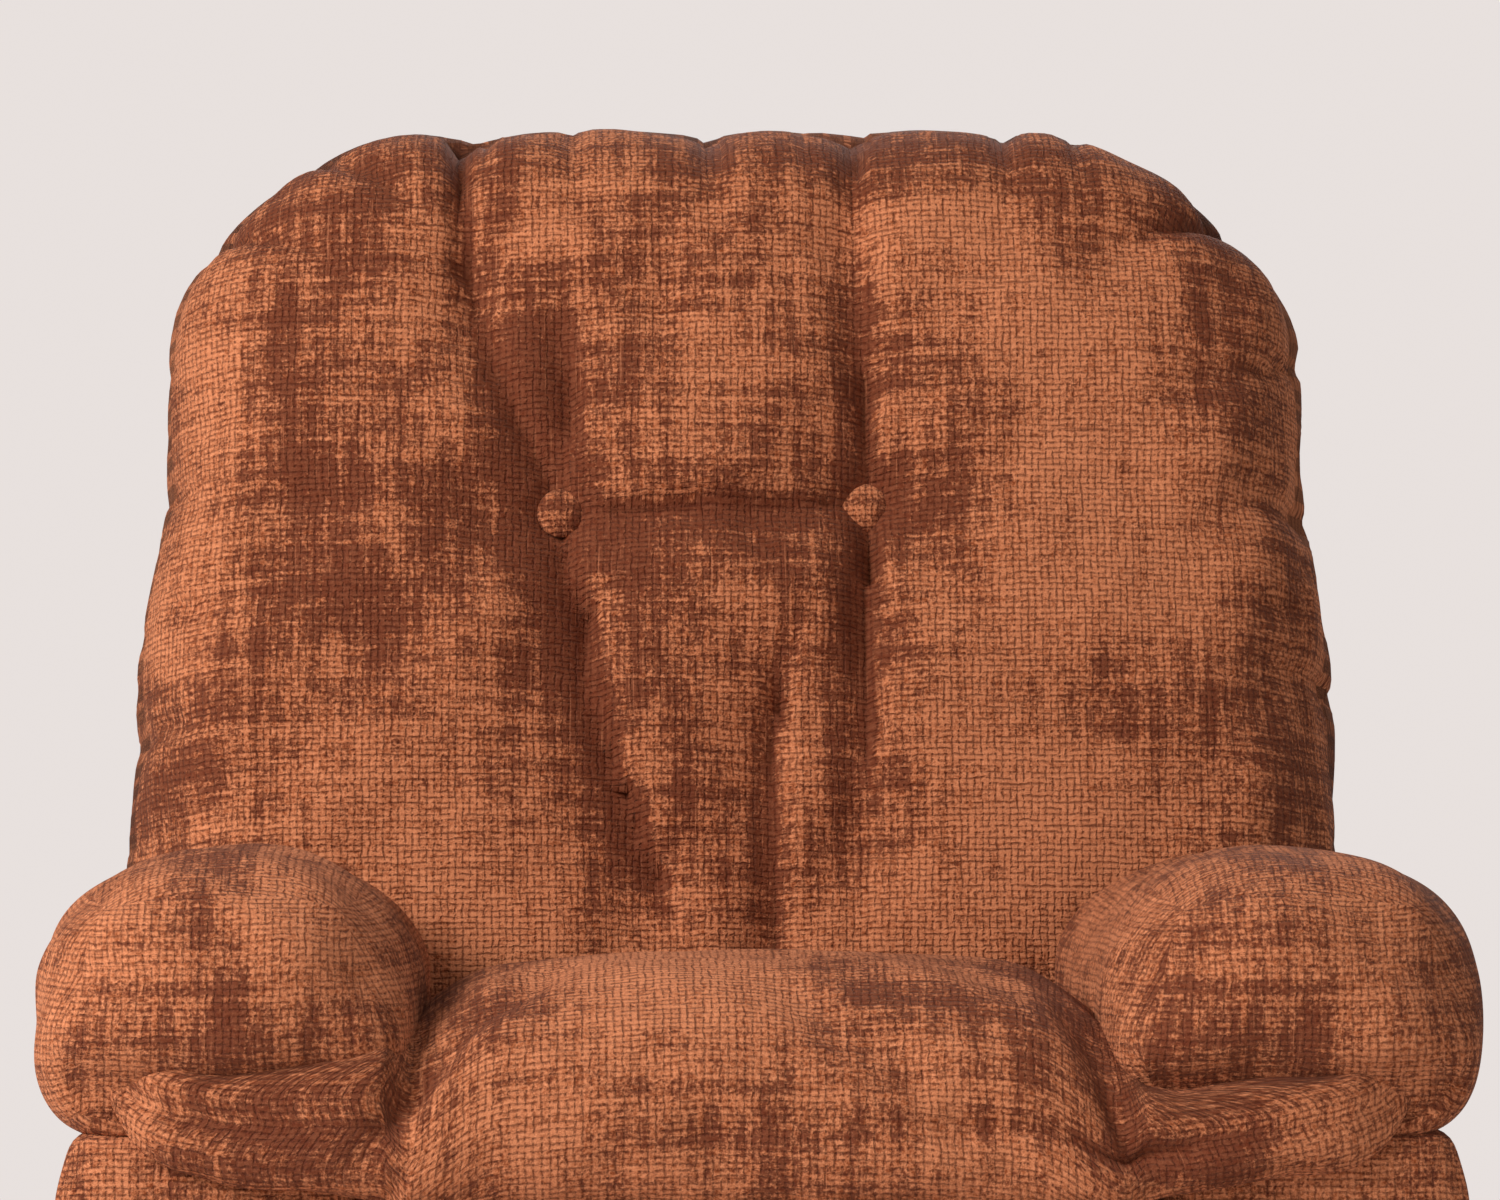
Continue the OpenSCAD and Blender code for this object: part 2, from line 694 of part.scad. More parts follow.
base_rail(-1);  // base_rail_left
base_rail(1);  // base_rail_right
base_cross(cross_y[0]);  // base_cross_front
base_cross(cross_y[1]);  // base_cross_rear
feet();
frame_bolts();
mech_plate(-1);  // mech_plate_left
mech_plate(1);  // mech_plate_right
seat_rail(-1);  // seat_rail_left
seat_rail(1);  // seat_rail_right
seat_cross_rail(rail_front);  // seat_rail_front
seat_cross_rail(rail_rear - rail_t);  // seat_rail_rear
seat_springs();
spring_clips();
seat_deck();
seat_cushion();
rear_apron();
arm_inner(-1);  // arm_inner_left
arm_inner(1);  // arm_inner_right
arm_panel(-1);  // arm_panel_left
arm_panel(1);  // arm_panel_right
arm_board(-1);  // arm_board_left
arm_board(1);  // arm_board_right
arm_cover(-1);  // arm_cover_left
arm_cover(1);  // arm_cover_right
arm_pillow(-1);  // arm_pillow_left
arm_pillow(1);  // arm_pillow_right
lever_bezel();
drive_shaft();
lever_handle();
lift_link(-1);  // lift_link_left
lift_link(1);  // lift_link_right
lift_pins();
cross_link(-1);  // cross_link_left
cross_link(1);  // cross_link_right
cross_pins();
front_link(-1);  // front_link_left
front_link(1);  // front_link_right
front_pins();
carry_link(-1);  // carry_link_left
carry_link(1);  // carry_link_right
carry_pins();
footrest_bracket(-1);  // footrest_bracket_left
footrest_bracket(1);  // footrest_bracket_right
footrest_board();
footrest_pad();
footrest_screws();
back_post(-1);  // back_post_left
back_post(1);  // back_post_right
back_rail_top();
back_rail_bottom();
back_webbing();
back_cushion();
back_cover();
tuft_buttons();
hinge_bracket(-1);  // hinge_bracket_left
hinge_bracket(1);  // hinge_bracket_right
hinge_pins();
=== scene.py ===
"""Pillow-arm recliner armchair: upholstery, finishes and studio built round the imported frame."""
import json
import logging
import math
from dataclasses import dataclass, field
from enum import Enum
from typing import Callable, Sequence

import bmesh
import bpy
import numpy as np
from mathutils import Matrix, Vector

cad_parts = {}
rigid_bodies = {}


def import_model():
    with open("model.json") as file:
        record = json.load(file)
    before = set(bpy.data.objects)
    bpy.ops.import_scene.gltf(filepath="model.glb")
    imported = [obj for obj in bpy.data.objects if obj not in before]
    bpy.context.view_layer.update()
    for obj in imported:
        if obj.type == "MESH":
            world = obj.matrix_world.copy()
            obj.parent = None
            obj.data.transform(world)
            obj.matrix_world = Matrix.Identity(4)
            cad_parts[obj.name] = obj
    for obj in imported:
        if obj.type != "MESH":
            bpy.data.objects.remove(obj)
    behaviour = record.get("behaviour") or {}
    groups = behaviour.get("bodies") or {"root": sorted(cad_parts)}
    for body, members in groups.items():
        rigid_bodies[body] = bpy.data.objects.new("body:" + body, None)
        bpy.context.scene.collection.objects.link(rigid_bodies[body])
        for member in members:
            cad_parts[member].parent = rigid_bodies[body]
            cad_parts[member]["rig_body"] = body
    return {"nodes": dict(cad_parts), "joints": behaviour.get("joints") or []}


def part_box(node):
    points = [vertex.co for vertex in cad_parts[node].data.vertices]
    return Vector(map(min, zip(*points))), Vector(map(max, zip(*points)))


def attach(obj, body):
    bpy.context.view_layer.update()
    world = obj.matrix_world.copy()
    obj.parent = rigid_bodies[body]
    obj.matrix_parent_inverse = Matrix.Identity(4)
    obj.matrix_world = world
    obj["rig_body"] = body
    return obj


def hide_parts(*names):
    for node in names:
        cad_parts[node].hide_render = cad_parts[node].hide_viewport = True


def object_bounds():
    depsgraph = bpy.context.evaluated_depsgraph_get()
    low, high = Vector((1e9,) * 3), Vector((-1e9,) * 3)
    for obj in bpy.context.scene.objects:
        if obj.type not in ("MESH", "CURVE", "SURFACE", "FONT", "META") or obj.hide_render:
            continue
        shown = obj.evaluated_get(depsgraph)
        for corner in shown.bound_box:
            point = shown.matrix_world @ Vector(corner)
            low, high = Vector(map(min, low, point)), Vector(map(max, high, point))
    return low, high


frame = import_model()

CAD_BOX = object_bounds()
LOG = logging.getLogger("recliner")
FACES_AWAY = 0.9
FAR = 9

Array = np.ndarray
Socket = bpy.types.NodeSocket
Colour = tuple[float, float, float, float]


class Panel(Enum):
    """The six cloth panels of a stuffed block: (axis across it, which end)."""

    LEFT = (0, 0)
    RIGHT = (0, 1)
    FRONT = (1, 0)
    REAR = (1, 1)
    UNDER = (2, 0)
    TOP = (2, 1)


class Grain(Enum):
    """Which axis a board's grain follows."""

    ACROSS = 0
    DEEP = 1
    UPRIGHT = 2


# ---- Small helpers ----


def deselect_all() -> None:
    """Leaves object mode with nothing selected."""
    if bpy.context.object and bpy.context.object.mode != "OBJECT":
        bpy.ops.object.mode_set(mode="OBJECT")
    bpy.ops.object.select_all(action="DESELECT")


def activate(piece: bpy.types.Object) -> None:
    """Makes one object the selected and active one.

    Args:
        piece: The object to work on.
    """
    deselect_all()
    piece.select_set(True)
    bpy.context.view_layer.objects.active = piece


def apply_modifier(piece: bpy.types.Object, kind: str, **values: object) -> None:
    """Adds one modifier and applies it.

    Args:
        piece: The object to change.
        kind: Blender's type name of the modifier.
        values: Settings of the modifier.
    """
    activate(piece)
    modifier = piece.modifiers.new(kind.title(), kind)
    for key, value in values.items():
        setattr(modifier, key, value)
    bpy.ops.object.modifier_apply(modifier=modifier.name)


def smooth(piece: bpy.types.Object, degrees: float = 40.0) -> None:
    """Shades a piece smooth except across sharp edges.

    Args:
        piece: The object to shade.
        degrees: Edges that turn by more than this stay sharp.
    """
    activate(piece)
    bpy.ops.object.shade_smooth_by_angle(angle=math.radians(degrees))


def ease(value: Array | float, low: float, high: float) -> Array:
    """Smooth step from 0 at low to 1 at high.

    Args:
        value: Where to read the step.
        low: Where it starts.
        high: Where it ends.

    Returns:
        The step's value at each place.
    """
    t = np.clip((np.asarray(value, float) - low) / (high - low), 0, 1)
    return t * t * (3 - 2 * t)


def lumps(points: Array, pitch: float, seed: float) -> Array:
    """Slow, even unevenness of hand stuffing, from a few crossing waves.

    Args:
        points: Places in metres, one row each.
        pitch: Length of one wave in metres.
        seed: Shifts the waves, so that no two pieces match.

    Returns:
        A value from about -1 to 1 at each place.
    """
    total = np.zeros(len(points))
    for turn in range(5):
        way = np.array([math.cos(1.9 * turn + seed), math.sin(2.3 * turn + seed),
                        math.cos(1.3 * turn - seed)])
        wave = 2 * math.pi / (pitch * (1 - 0.11 * turn))
        total += np.sin(points @ way * wave + 2.1 * turn * seed)
    return total / 3.2


# ---- Finishes ----


class Weaver:
    """Puts a material together from named nodes."""

    def __init__(self, name: str) -> None:
        """Starts a material.

        Args:
            name: The material's name.
        """
        self.material = bpy.data.materials.new(name)
        self.material.use_nodes = True
        self.tree = self.material.node_tree
        self.shader = self.tree.nodes["Principled BSDF"]
        self.coords = self.tree.nodes.new("ShaderNodeTexCoord")

    def node(self, kind: str, inputs: dict | None = None, **settings: object) -> bpy.types.Node:
        """Adds a node.

        Args:
            kind: The node's type without the word ShaderNode.
            inputs: Socket name to a value or to another node's socket.
            settings: The node's own settings.

        Returns:
            The new node.
        """
        made = self.tree.nodes.new("ShaderNode" + kind)
        for key, value in settings.items():
            setattr(made, key, value)
        for key, value in (inputs or {}).items():
            self.join(made.inputs[key], value)
        return made

    def join(self, socket: Socket, value: object) -> None:
        """Sets a socket, or links it where the value is a socket.

        Args:
            socket: The input to fill.
            value: A number, a colour or an output socket.
        """
        if isinstance(value, Socket):
            self.tree.links.new(value, socket)
        else:
            socket.default_value = value

    def spread(self, source: str, scale: Sequence[float]) -> Socket:
        """Scaled coordinates.

        Args:
            source: "Object" or "UV".
            scale: Repeats per metre on each axis.

        Returns:
            The vector socket.
        """
        return self.node("Mapping", {"Vector": self.coords.outputs[source], "Scale": scale}).outputs[0]

    def noise(self, at: Socket, detail: float = 3.0, rough: float = 0.5,
              swirl: float = 0.0) -> Socket:
        """A noise value from 0 to 1.

        Args:
            at: Coordinates.
            detail: Octaves.
            rough: Weight of the fine octaves.
            swirl: Distortion.

        Returns:
            The value socket.
        """
        sockets = {"Vector": at, "Scale": 1.0, "Detail": detail, "Roughness": rough, "Distortion": swirl}
        return self.node("TexNoise", sockets).outputs["Fac"]

    def ramp(self, value: Socket, low: float, high: float,
             out: tuple[float, float] = (0, 1)) -> Socket:
        """Maps low..high to out, held at its ends.

        Args:
            value: The socket to map.
            low: Value that gives out's first number.
            high: Value that gives out's second number.
            out: The result's two ends.

        Returns:
            The mapped value.
        """
        sockets = {"Value": value, "From Min": low, "From Max": high, "To Min": out[0], "To Max": out[1]}
        return self.node("MapRange", sockets, interpolation_type="SMOOTHSTEP").outputs[0]

    def maths(self, what: str, first: object, second: object = 0.0) -> Socket:
        """One sum of two values.

        Args:
            what: Blender's name of the operation.
            first: Left value or socket.
            second: Right value or socket.

        Returns:
            The result.
        """
        made = self.node("Math", operation=what)
        self.join(made.inputs[0], first)
        self.join(made.inputs[1], second)
        return made.outputs[0]

    def plus(self, first: object, second: object) -> Socket:
        """The sum of two values or sockets."""
        return self.maths("ADD", first, second)

    def minus(self, first: object, second: object) -> Socket:
        """The first value or socket less the second."""
        return self.maths("SUBTRACT", first, second)

    def times(self, first: object, second: object) -> Socket:
        """The product of two values or sockets."""
        return self.maths("MULTIPLY", first, second)

    def blend(self, amount: object, first: object, second: object, how: str = "MIX") -> Socket:
        """Mixes two colours.

        Args:
            amount: Share of the second colour.
            first: Colour or socket.
            second: Colour or socket.
            how: Blend type.

        Returns:
            The mixed colour.
        """
        made = self.node("Mix", data_type="RGBA", blend_type=how)
        self.join(made.inputs[0], amount)
        self.join(made.inputs[6], first)
        self.join(made.inputs[7], second)
        return made.outputs[2]

    def bump(self, height: Socket, rise: float, before: Socket | None = None) -> Socket:
        """Turns a height into a normal.

        Args:
            height: Height from 0 to 1.
            rise: Height of 1 in metres.
            before: A normal to add to.

        Returns:
            The normal.
        """
        sockets = {"Height": height, "Distance": rise, "Strength": 1.0}
        if before is not None:
            sockets["Normal"] = before
        return self.node("Bump", sockets).outputs[0]

    def finish(self, colour: object, roughness: object, normal: Socket | None,
               **fixed: object) -> bpy.types.Material:
        """Fills the shader.

        Args:
            colour: Base colour.
            roughness: Roughness.
            normal: Normal, if any.
            fixed: Sockets that are the same all over, with _ for a space.

        Returns:
            The finished material.
        """
        self.join(self.shader.inputs["Base Color"], colour)
        self.join(self.shader.inputs["Roughness"], roughness)
        if normal is not None:
            self.join(self.shader.inputs["Normal"], normal)
        for key, value in fixed.items():
            self.shader.inputs[key.replace("_", " ")].default_value = value
        return self.material


@dataclass(frozen=True)
class Chenille:
    """Crushed basket-weave chenille, read in metres along the cloth."""

    name: str = "chenille"
    pitch: tuple[float, float] = (0.0052, 0.0044)
    light: Colour = (0.82, 0.308, 0.143, 1)
    mid: Colour = (0.30, 0.066, 0.015, 1)
    gap: Colour = (0.100, 0.015, 0.0032, 1)
    # Colour of crushed pile, also used as painted shade.
    crushed_and_shade: Colour = (0.115, 0.017, 0.0030, 1)
    rise: float = 0.0016

    def make(self) -> bpy.types.Material:
        """Builds the material.

        Returns:
            The cloth, with nubs, slubs, crushed patches, and painted shade and painted light from the mesh.
        """
        w = Weaver(self.name)
        yarns = w.spread("UV", (1 / self.pitch[0], 1 / self.pitch[1], 1))
        drift = w.node("TexNoise", {"Vector": w.spread("UV", (70, 70, 70)), "Scale": 1.0,
                                    "Detail": 3.0, "Roughness": 0.7})
        centred = w.node("VectorMath", {0: drift.outputs["Color"], 1: (0.5, 0.5, 0.5)},
                         operation="SUBTRACT")
        shift = w.node("VectorMath", {0: centred.outputs[0], "Scale": 1.05}, operation="SCALE")
        pulled = w.node("VectorMath", {0: yarns, 1: shift.outputs[0]}, operation="ADD").outputs[0]
        cell = w.node("VectorMath", {0: pulled}, operation="FLOOR").outputs[0]
        within = w.node("VectorMath", {0: pulled}, operation="FRACTION").outputs[0]
        parts = w.node("SeparateXYZ", {0: within})
        gap_u = self.between(w, parts.outputs[0], 0.30)
        gap_v = self.between(w, parts.outputs[1], 0.34)
        broken_u = w.ramp(w.noise(w.spread("UV", (170, 120, 1)), 3.0, 0.7), 0.42, 0.60, (0.05, 1.0))
        broken_v = w.ramp(w.noise(w.spread("UV", (120, 225, 1)), 3.0, 0.7), 0.42, 0.60, (0.10, 1.0))
        lines = w.maths("MAXIMUM", w.times(gap_u, broken_u), w.times(gap_v, broken_v))
        gaps = w.maths("MAXIMUM", w.times(lines, 0.75), w.times(gap_u, gap_v))
        tint = w.node("TexWhiteNoise", {"Vector": cell}, noise_dimensions="2D").outputs["Value"]
        # Where the pile lies crushed or proud: slow patches, long yarn streaks, single cells and flecks;
        # painted shade is added to this below.
        warp = self.yarn_tone(w, pulled, (0.61, 0.055, 1))
        weft = self.yarn_tone(w, pulled, (0.045, 0.57, 1))
        streaks = w.plus(w.minus(warp, 0.5), w.minus(weft, 0.5))
        flecks = w.noise(w.spread("UV", (300, 300, 1)), 4.0, 0.72)
        patch = w.noise(w.spread("Object", (7.0, 7.0, 5.5)), 8.0, 0.62, 0.5)
        lay = w.plus(w.times(patch, 0.85), w.times(streaks, 0.62))
        lay = w.plus(lay, w.times(w.minus(tint, 0.5), 0.09))
        lay = w.plus(lay, w.times(w.minus(flecks, 0.35), 0.50))
        # Painted shade and painted light: a point attribute on the mesh darkens the cloth in creases,
        # dimples, channels and shade spots, and lightens it in lit spots.
        painted_shading = w.node("Attribute", attribute_name="painted_shading").outputs["Fac"]
        lay = w.plus(lay, w.times(painted_shading, 0.20))
        crush_and_shade = w.ramp(lay, 0.49, 0.65)
        # Lighter pile where the mix is low, which includes the painted light spots.
        proud_and_lit = w.ramp(lay, 0.52, 0.34)
        fuzz = w.noise(w.spread("UV", (1300, 1300, 1)), 3.0, 0.7)
        slub = w.ramp(w.noise(w.spread("UV", (9, 330, 1)), 3.0, 0.65), 0.60, 0.72)
        thread = w.ramp(w.noise(w.spread("UV", (420, 11, 1)), 3.0, 0.65), 0.60, 0.74)
        nub = w.plus(w.times(tint, 0.35), w.ramp(flecks, 0.66, 0.36, (0.0, 0.65)))
        colour = w.blend(nub, self.mid, self.light)
        colour = w.blend(w.times(proud_and_lit, 0.55), colour, self.light)
        # Crushed pile and painted shade both take the dark crushed colour here.
        colour = w.blend(w.times(crush_and_shade, 0.80), colour, self.crushed_and_shade)
        colour = w.blend(w.times(gaps, 0.82), colour, self.gap)
        colour = w.blend(w.times(slub, 0.55), colour, self.gap)
        colour = w.blend(w.times(thread, 0.40), colour, self.light)
        pile = w.blend(w.ramp(fuzz, 0.32, 0.68), (0.66, 0.56, 0.50, 1), (1, 1, 1, 1))
        colour = w.blend(0.75, colour, pile, "MULTIPLY")
        height = w.plus(w.minus(1.0, gaps), w.times(fuzz, 0.45))
        height = w.minus(height, w.times(crush_and_shade, 0.25))
        rough = w.ramp(crush_and_shade, 0, 1, (0.92, 0.78))
        return w.finish(colour, rough, w.bump(height, self.rise), Sheen_Weight=0.06, Sheen_Roughness=0.4,
                        Sheen_Tint=(1.0, 0.60, 0.42, 1), Specular_IOR_Level=0.2)

    def between(self, w: Weaver, place: Socket, width: float) -> Socket:
        """How far a place lies in the gap between two yarns.

        Args:
            w: The material being made.
            place: Place within one cell, from 0 to 1.
            width: Share of the cell that the gap's soft edge takes on each side.

        Returns:
            1 in the gap and 0 on the yarn.
        """
        edge = w.maths("ABSOLUTE", w.minus(place, 0.5))
        return w.ramp(edge, 0.5 - width, 0.5)

    def yarn_tone(self, w: Weaver, yarns: Socket, scale: tuple[float, float, float]) -> Socket:
        """Tone in long streaks that follow one set of yarns.

        Args:
            w: The material being made.
            yarns: Places counted in yarns, across and up.
            scale: Change per yarn across and up.

        Returns:
            A value round 0.5.
        """
        at = w.node("Mapping", {"Vector": yarns, "Location": (0.31, 0.47, 0.5), "Scale": scale}).outputs[0]
        return w.noise(at, 4.0, 0.65)


@dataclass(frozen=True)
class Timber:
    """Sawn or stained wood with rings along one axis."""

    name: str
    pale: Colour
    dark: Colour
    grain: Grain = Grain.ACROSS
    rough: float = 0.62
    coat: float = 0.0

    def make(self) -> bpy.types.Material:
        """Builds the material.

        Returns:
            The wood.
        """
        w = Weaver(self.name)
        stretch = [38.0, 38.0, 38.0]
        stretch[self.grain.value] = 2.2
        rings = w.noise(w.spread("Object", stretch), 4.0, 0.6, 1.2)
        fine = [900.0, 900.0, 900.0]
        fine[self.grain.value] = 12.0
        pores = w.noise(w.spread("Object", fine), 2.0)
        colour = w.blend(w.ramp(rings, 0.35, 0.65), self.pale, self.dark)
        colour = w.blend(w.ramp(pores, 0.56, 0.7, (0, 0.5)), colour, self.dark)
        rough = w.ramp(rings, 0.3, 0.7, (self.rough - 0.08, self.rough + 0.08))
        return w.finish(colour, rough, w.bump(pores, 0.0003), Coat_Weight=self.coat, Coat_Roughness=0.25)


@dataclass(frozen=True)
class LayeredBoard:
    """Plywood: thin layers across its thickness and a plain face."""

    name: str
    layers: Grain

    def make(self) -> bpy.types.Material:
        """Builds the material.

        Returns:
            The board.
        """
        w = Weaver(self.name)
        across = [0.0, 0.0, 0.0]
        across[self.layers.value] = 500.0
        sockets = {"Vector": w.spread("Object", across), "Scale": 0.31, "Distortion": 0.3}
        ply = w.node("TexWave", sockets, wave_type="BANDS",
                     bands_direction="XYZ"[self.layers.value]).outputs["Fac"]
        face = w.noise(w.spread("Object", (6, 26, 26)), 5.0, 0.6, 1.5)
        colour = w.blend(w.ramp(face, 0.35, 0.68), (0.55, 0.39, 0.235, 1), (0.40, 0.255, 0.135, 1))
        colour = w.blend(w.ramp(ply, 0.55, 0.85, (0, 0.35)), colour, (0.25, 0.15, 0.08, 1))
        return w.finish(colour, 0.7, w.bump(w.noise(w.spread("Object", (300, 300, 300)), 2.0), 0.0003))


@dataclass(frozen=True)
class Metal:
    """Painted or plated steel."""

    name: str
    colour: Colour
    worn: Colour
    metallic: float
    rough: float
    coat: float = 0.0

    def make(self) -> bpy.types.Material:
        """Builds the material.

        Returns:
            The steel, with rubbed patches and fine texture.
        """
        w = Weaver(self.name)
        rub = w.noise(w.spread("Object", (60, 60, 60)), 5.0, 0.65)
        speck = w.noise(w.spread("Object", (1400, 1400, 1400)), 2.0)
        colour = w.blend(w.ramp(rub, 0.56, 0.75, (0, 0.6)), self.colour, self.worn)
        rough = w.ramp(rub, 0.3, 0.7, (self.rough - 0.08, self.rough + 0.1))
        return w.finish(colour, rough, w.bump(speck, 0.00012), Metallic=self.metallic,
                        Coat_Weight=self.coat)


@dataclass(frozen=True)
class Moulded:
    """Textured black plastic."""

    name: str = "black_plastic"

    def make(self) -> bpy.types.Material:
        """Builds the material.

        Returns:
            The plastic.
        """
        w = Weaver(self.name)
        grains = {"Vector": w.spread("Object", (900, 900, 900)), "Scale": 1.0}
        pebble = w.node("TexVoronoi", grains).outputs["Distance"]
        scuff = w.noise(w.spread("Object", (40, 40, 40)), 4.0, 0.6)
        colour = w.blend(w.ramp(scuff, 0.5, 0.8, (0, 0.5)), (0.018, 0.018, 0.019, 1),
                         (0.06, 0.058, 0.055, 1))
        return w.finish(colour, w.ramp(scuff, 0.3, 0.7, (0.42, 0.6)), w.bump(pebble, 0.0002))


@dataclass(frozen=True)
class Fleece:
    """Felt or elastic webbing: fibres on a dark ground."""

    name: str
    ground: Colour
    fibre: Colour
    ribs: float = 0.0

    def make(self) -> bpy.types.Material:
        """Builds the material.

        Returns:
            The cloth.
        """
        w = Weaver(self.name)
        hairs = w.noise(w.spread("Object", (420, 420, 420)), 5.0, 0.75, 2.0)
        height = hairs
        colour = w.blend(w.ramp(hairs, 0.45, 0.68), self.ground, self.fibre)
        if self.ribs:
            waves = {"Vector": w.spread("Object", (self.ribs, self.ribs, self.ribs)), "Scale": 1.0}
            rows = w.node("TexWave", waves, bands_direction="Z").outputs["Fac"]
            colour = w.blend(w.ramp(rows, 0.5, 0.9, (0, 0.6)), colour, self.fibre)
            height = w.plus(rows, w.times(hairs, 0.4))
        return w.finish(colour, 0.95, w.bump(height, 0.0006), Sheen_Weight=0.1)


class Workshop:
    """Every finish, made once."""

    def __init__(self) -> None:
        """Makes the materials."""
        pale_beech, dark_beech = (0.60, 0.42, 0.25, 1), (0.42, 0.26, 0.13, 1)
        finishes = [
            Chenille(),
            Timber("beech_across", pale_beech, dark_beech, Grain.ACROSS),
            Timber("beech_deep", pale_beech, dark_beech, Grain.DEEP),
            Timber("beech_upright", pale_beech, dark_beech, Grain.UPRIGHT),
            Timber("stained_lever", (0.15, 0.062, 0.028, 1), (0.06, 0.022, 0.010, 1),
                   Grain.DEEP, 0.34, 0.5),
            LayeredBoard("plywood_side", Grain.ACROSS),
            LayeredBoard("plywood_front", Grain.DEEP),
            Metal("black_steel", (0.014, 0.014, 0.016, 1), (0.05, 0.048, 0.046, 1), 0.35, 0.42, 0.15),
            Metal("zinc_steel", (0.50, 0.51, 0.52, 1), (0.36, 0.35, 0.32, 1), 1.0, 0.34),
            Moulded(),
            Fleece("deck_felt", (0.035, 0.033, 0.031, 1), (0.10, 0.095, 0.09, 1)),
            Fleece("elastic_webbing", (0.035, 0.028, 0.024, 1), (0.16, 0.13, 0.10, 1), 55.0),
        ]
        self.finishes = {finish.name: finish.make() for finish in finishes}

    def cover(self, piece: bpy.types.Object, name: str) -> None:
        """Gives a piece one finish in all its slots.

        Args:
            piece: The object.
            name: The finish's name.
        """
        if not piece.material_slots:
            piece.data.materials.append(self.finishes[name])
        for slot in piece.material_slots:
            slot.material = self.finishes[name]


# ---- Stuffed pieces ----


@dataclass(frozen=True)
class Crease:
    """A pull line sewn or tucked into the cloth.

    Points are (across, up, depth) in metres on the unrolled panel; left and right are how far
    each bank reaches.
    """

    points: Sequence[tuple[float, float, float]]
    left: float = 0.012
    right: float = 0.012

    def depth_at(self, flat: Array) -> Array:
        """How deep the crease presses each point.

        Args:
            flat: Unrolled places, one row of (across, up) each.

        Returns:
            Depth in metres.
        """
        path = np.array(self.points, float)
        best = np.zeros(len(flat))
        for start, end in zip(path[:-1], path[1:]):
            along = end[:2] - start[:2]
            length = float(np.hypot(*along))
            rel = flat - start[:2]
            t = np.clip(rel @ along / length**2, 0, 1)
            away = rel - t[:, None] * along
            distance = np.sqrt((away**2).sum(1) + 0.0015**2)
            side = along[0] * rel[:, 1] - along[1] * rel[:, 0]
            reach = np.where(side > 0, self.left, self.right)
            deep = start[2] + (end[2] - start[2]) * t
            bank = 0.6 * np.exp(-distance / reach) + 0.4 * np.exp(-distance * 3 / reach)
            best = np.maximum(best, deep * bank)
        return best


def gather(creases: Sequence[Crease], flat: Array) -> Array:
    """Depth of several creases together, without doubling where they meet.

    Args:
        creases: The creases.
        flat: Unrolled places.

    Returns:
        Depth in metres.
    """
    total = np.zeros(len(flat))
    for crease in creases:
        total += crease.depth_at(flat) ** 2.5
    return total ** 0.4


def painted_spot_shading(flat: Array, painted_shading_spots: Sequence[Sequence[float]]) -> Array:
    """Painted shade and painted light in soft spots, where shade and light fall on the cloth.

    Args:
        flat: Unrolled places.
        painted_shading_spots: Middle, half sizes and strength of each spot; a positive strength paints
            shade and a negative one paints light.

    Returns:
        Strength at each place.
    """
    total = np.zeros(len(flat))
    for across, up, wide, tall, strength in painted_shading_spots:
        total += strength * np.exp(-(((flat[:, 0] - across) / wide) ** 2) - ((flat[:, 1] - up) / tall) ** 2)
    return total


def pillow_form(unit: Array, low: Array, high: Array, near: Sequence[float], far: Sequence[float],
                fullness: Array | float = 2.0) -> Array:
    """A block with rounded edges, whose rounding may differ at each end.

    Args:
        unit: Places on a cube from -1 to 1.
        low: Lowest corner.
        high: Highest corner.
        near: Rounding radii at the low ends.
        far: Rounding radii at the high ends.
        fullness: 2 for round corners, more for squarer ones.

    Returns:
        Places in metres.
    """
    low, high = np.asarray(low, float), np.asarray(high, float)
    place = (low + high) / 2 + unit * (high - low) / 2
    radius = np.where(unit < 0, near, far)
    core = np.clip(place, low + np.asarray(near), high - np.asarray(far))
    out = np.tan((place - core) / radius * math.pi / 4)
    power = np.broadcast_to(np.asarray(fullness, float), len(out))
    size = (np.abs(out) ** power[:, None]).sum(1) ** (1 / power)
    return core + out / np.maximum(size, 1e-9)[:, None] * radius


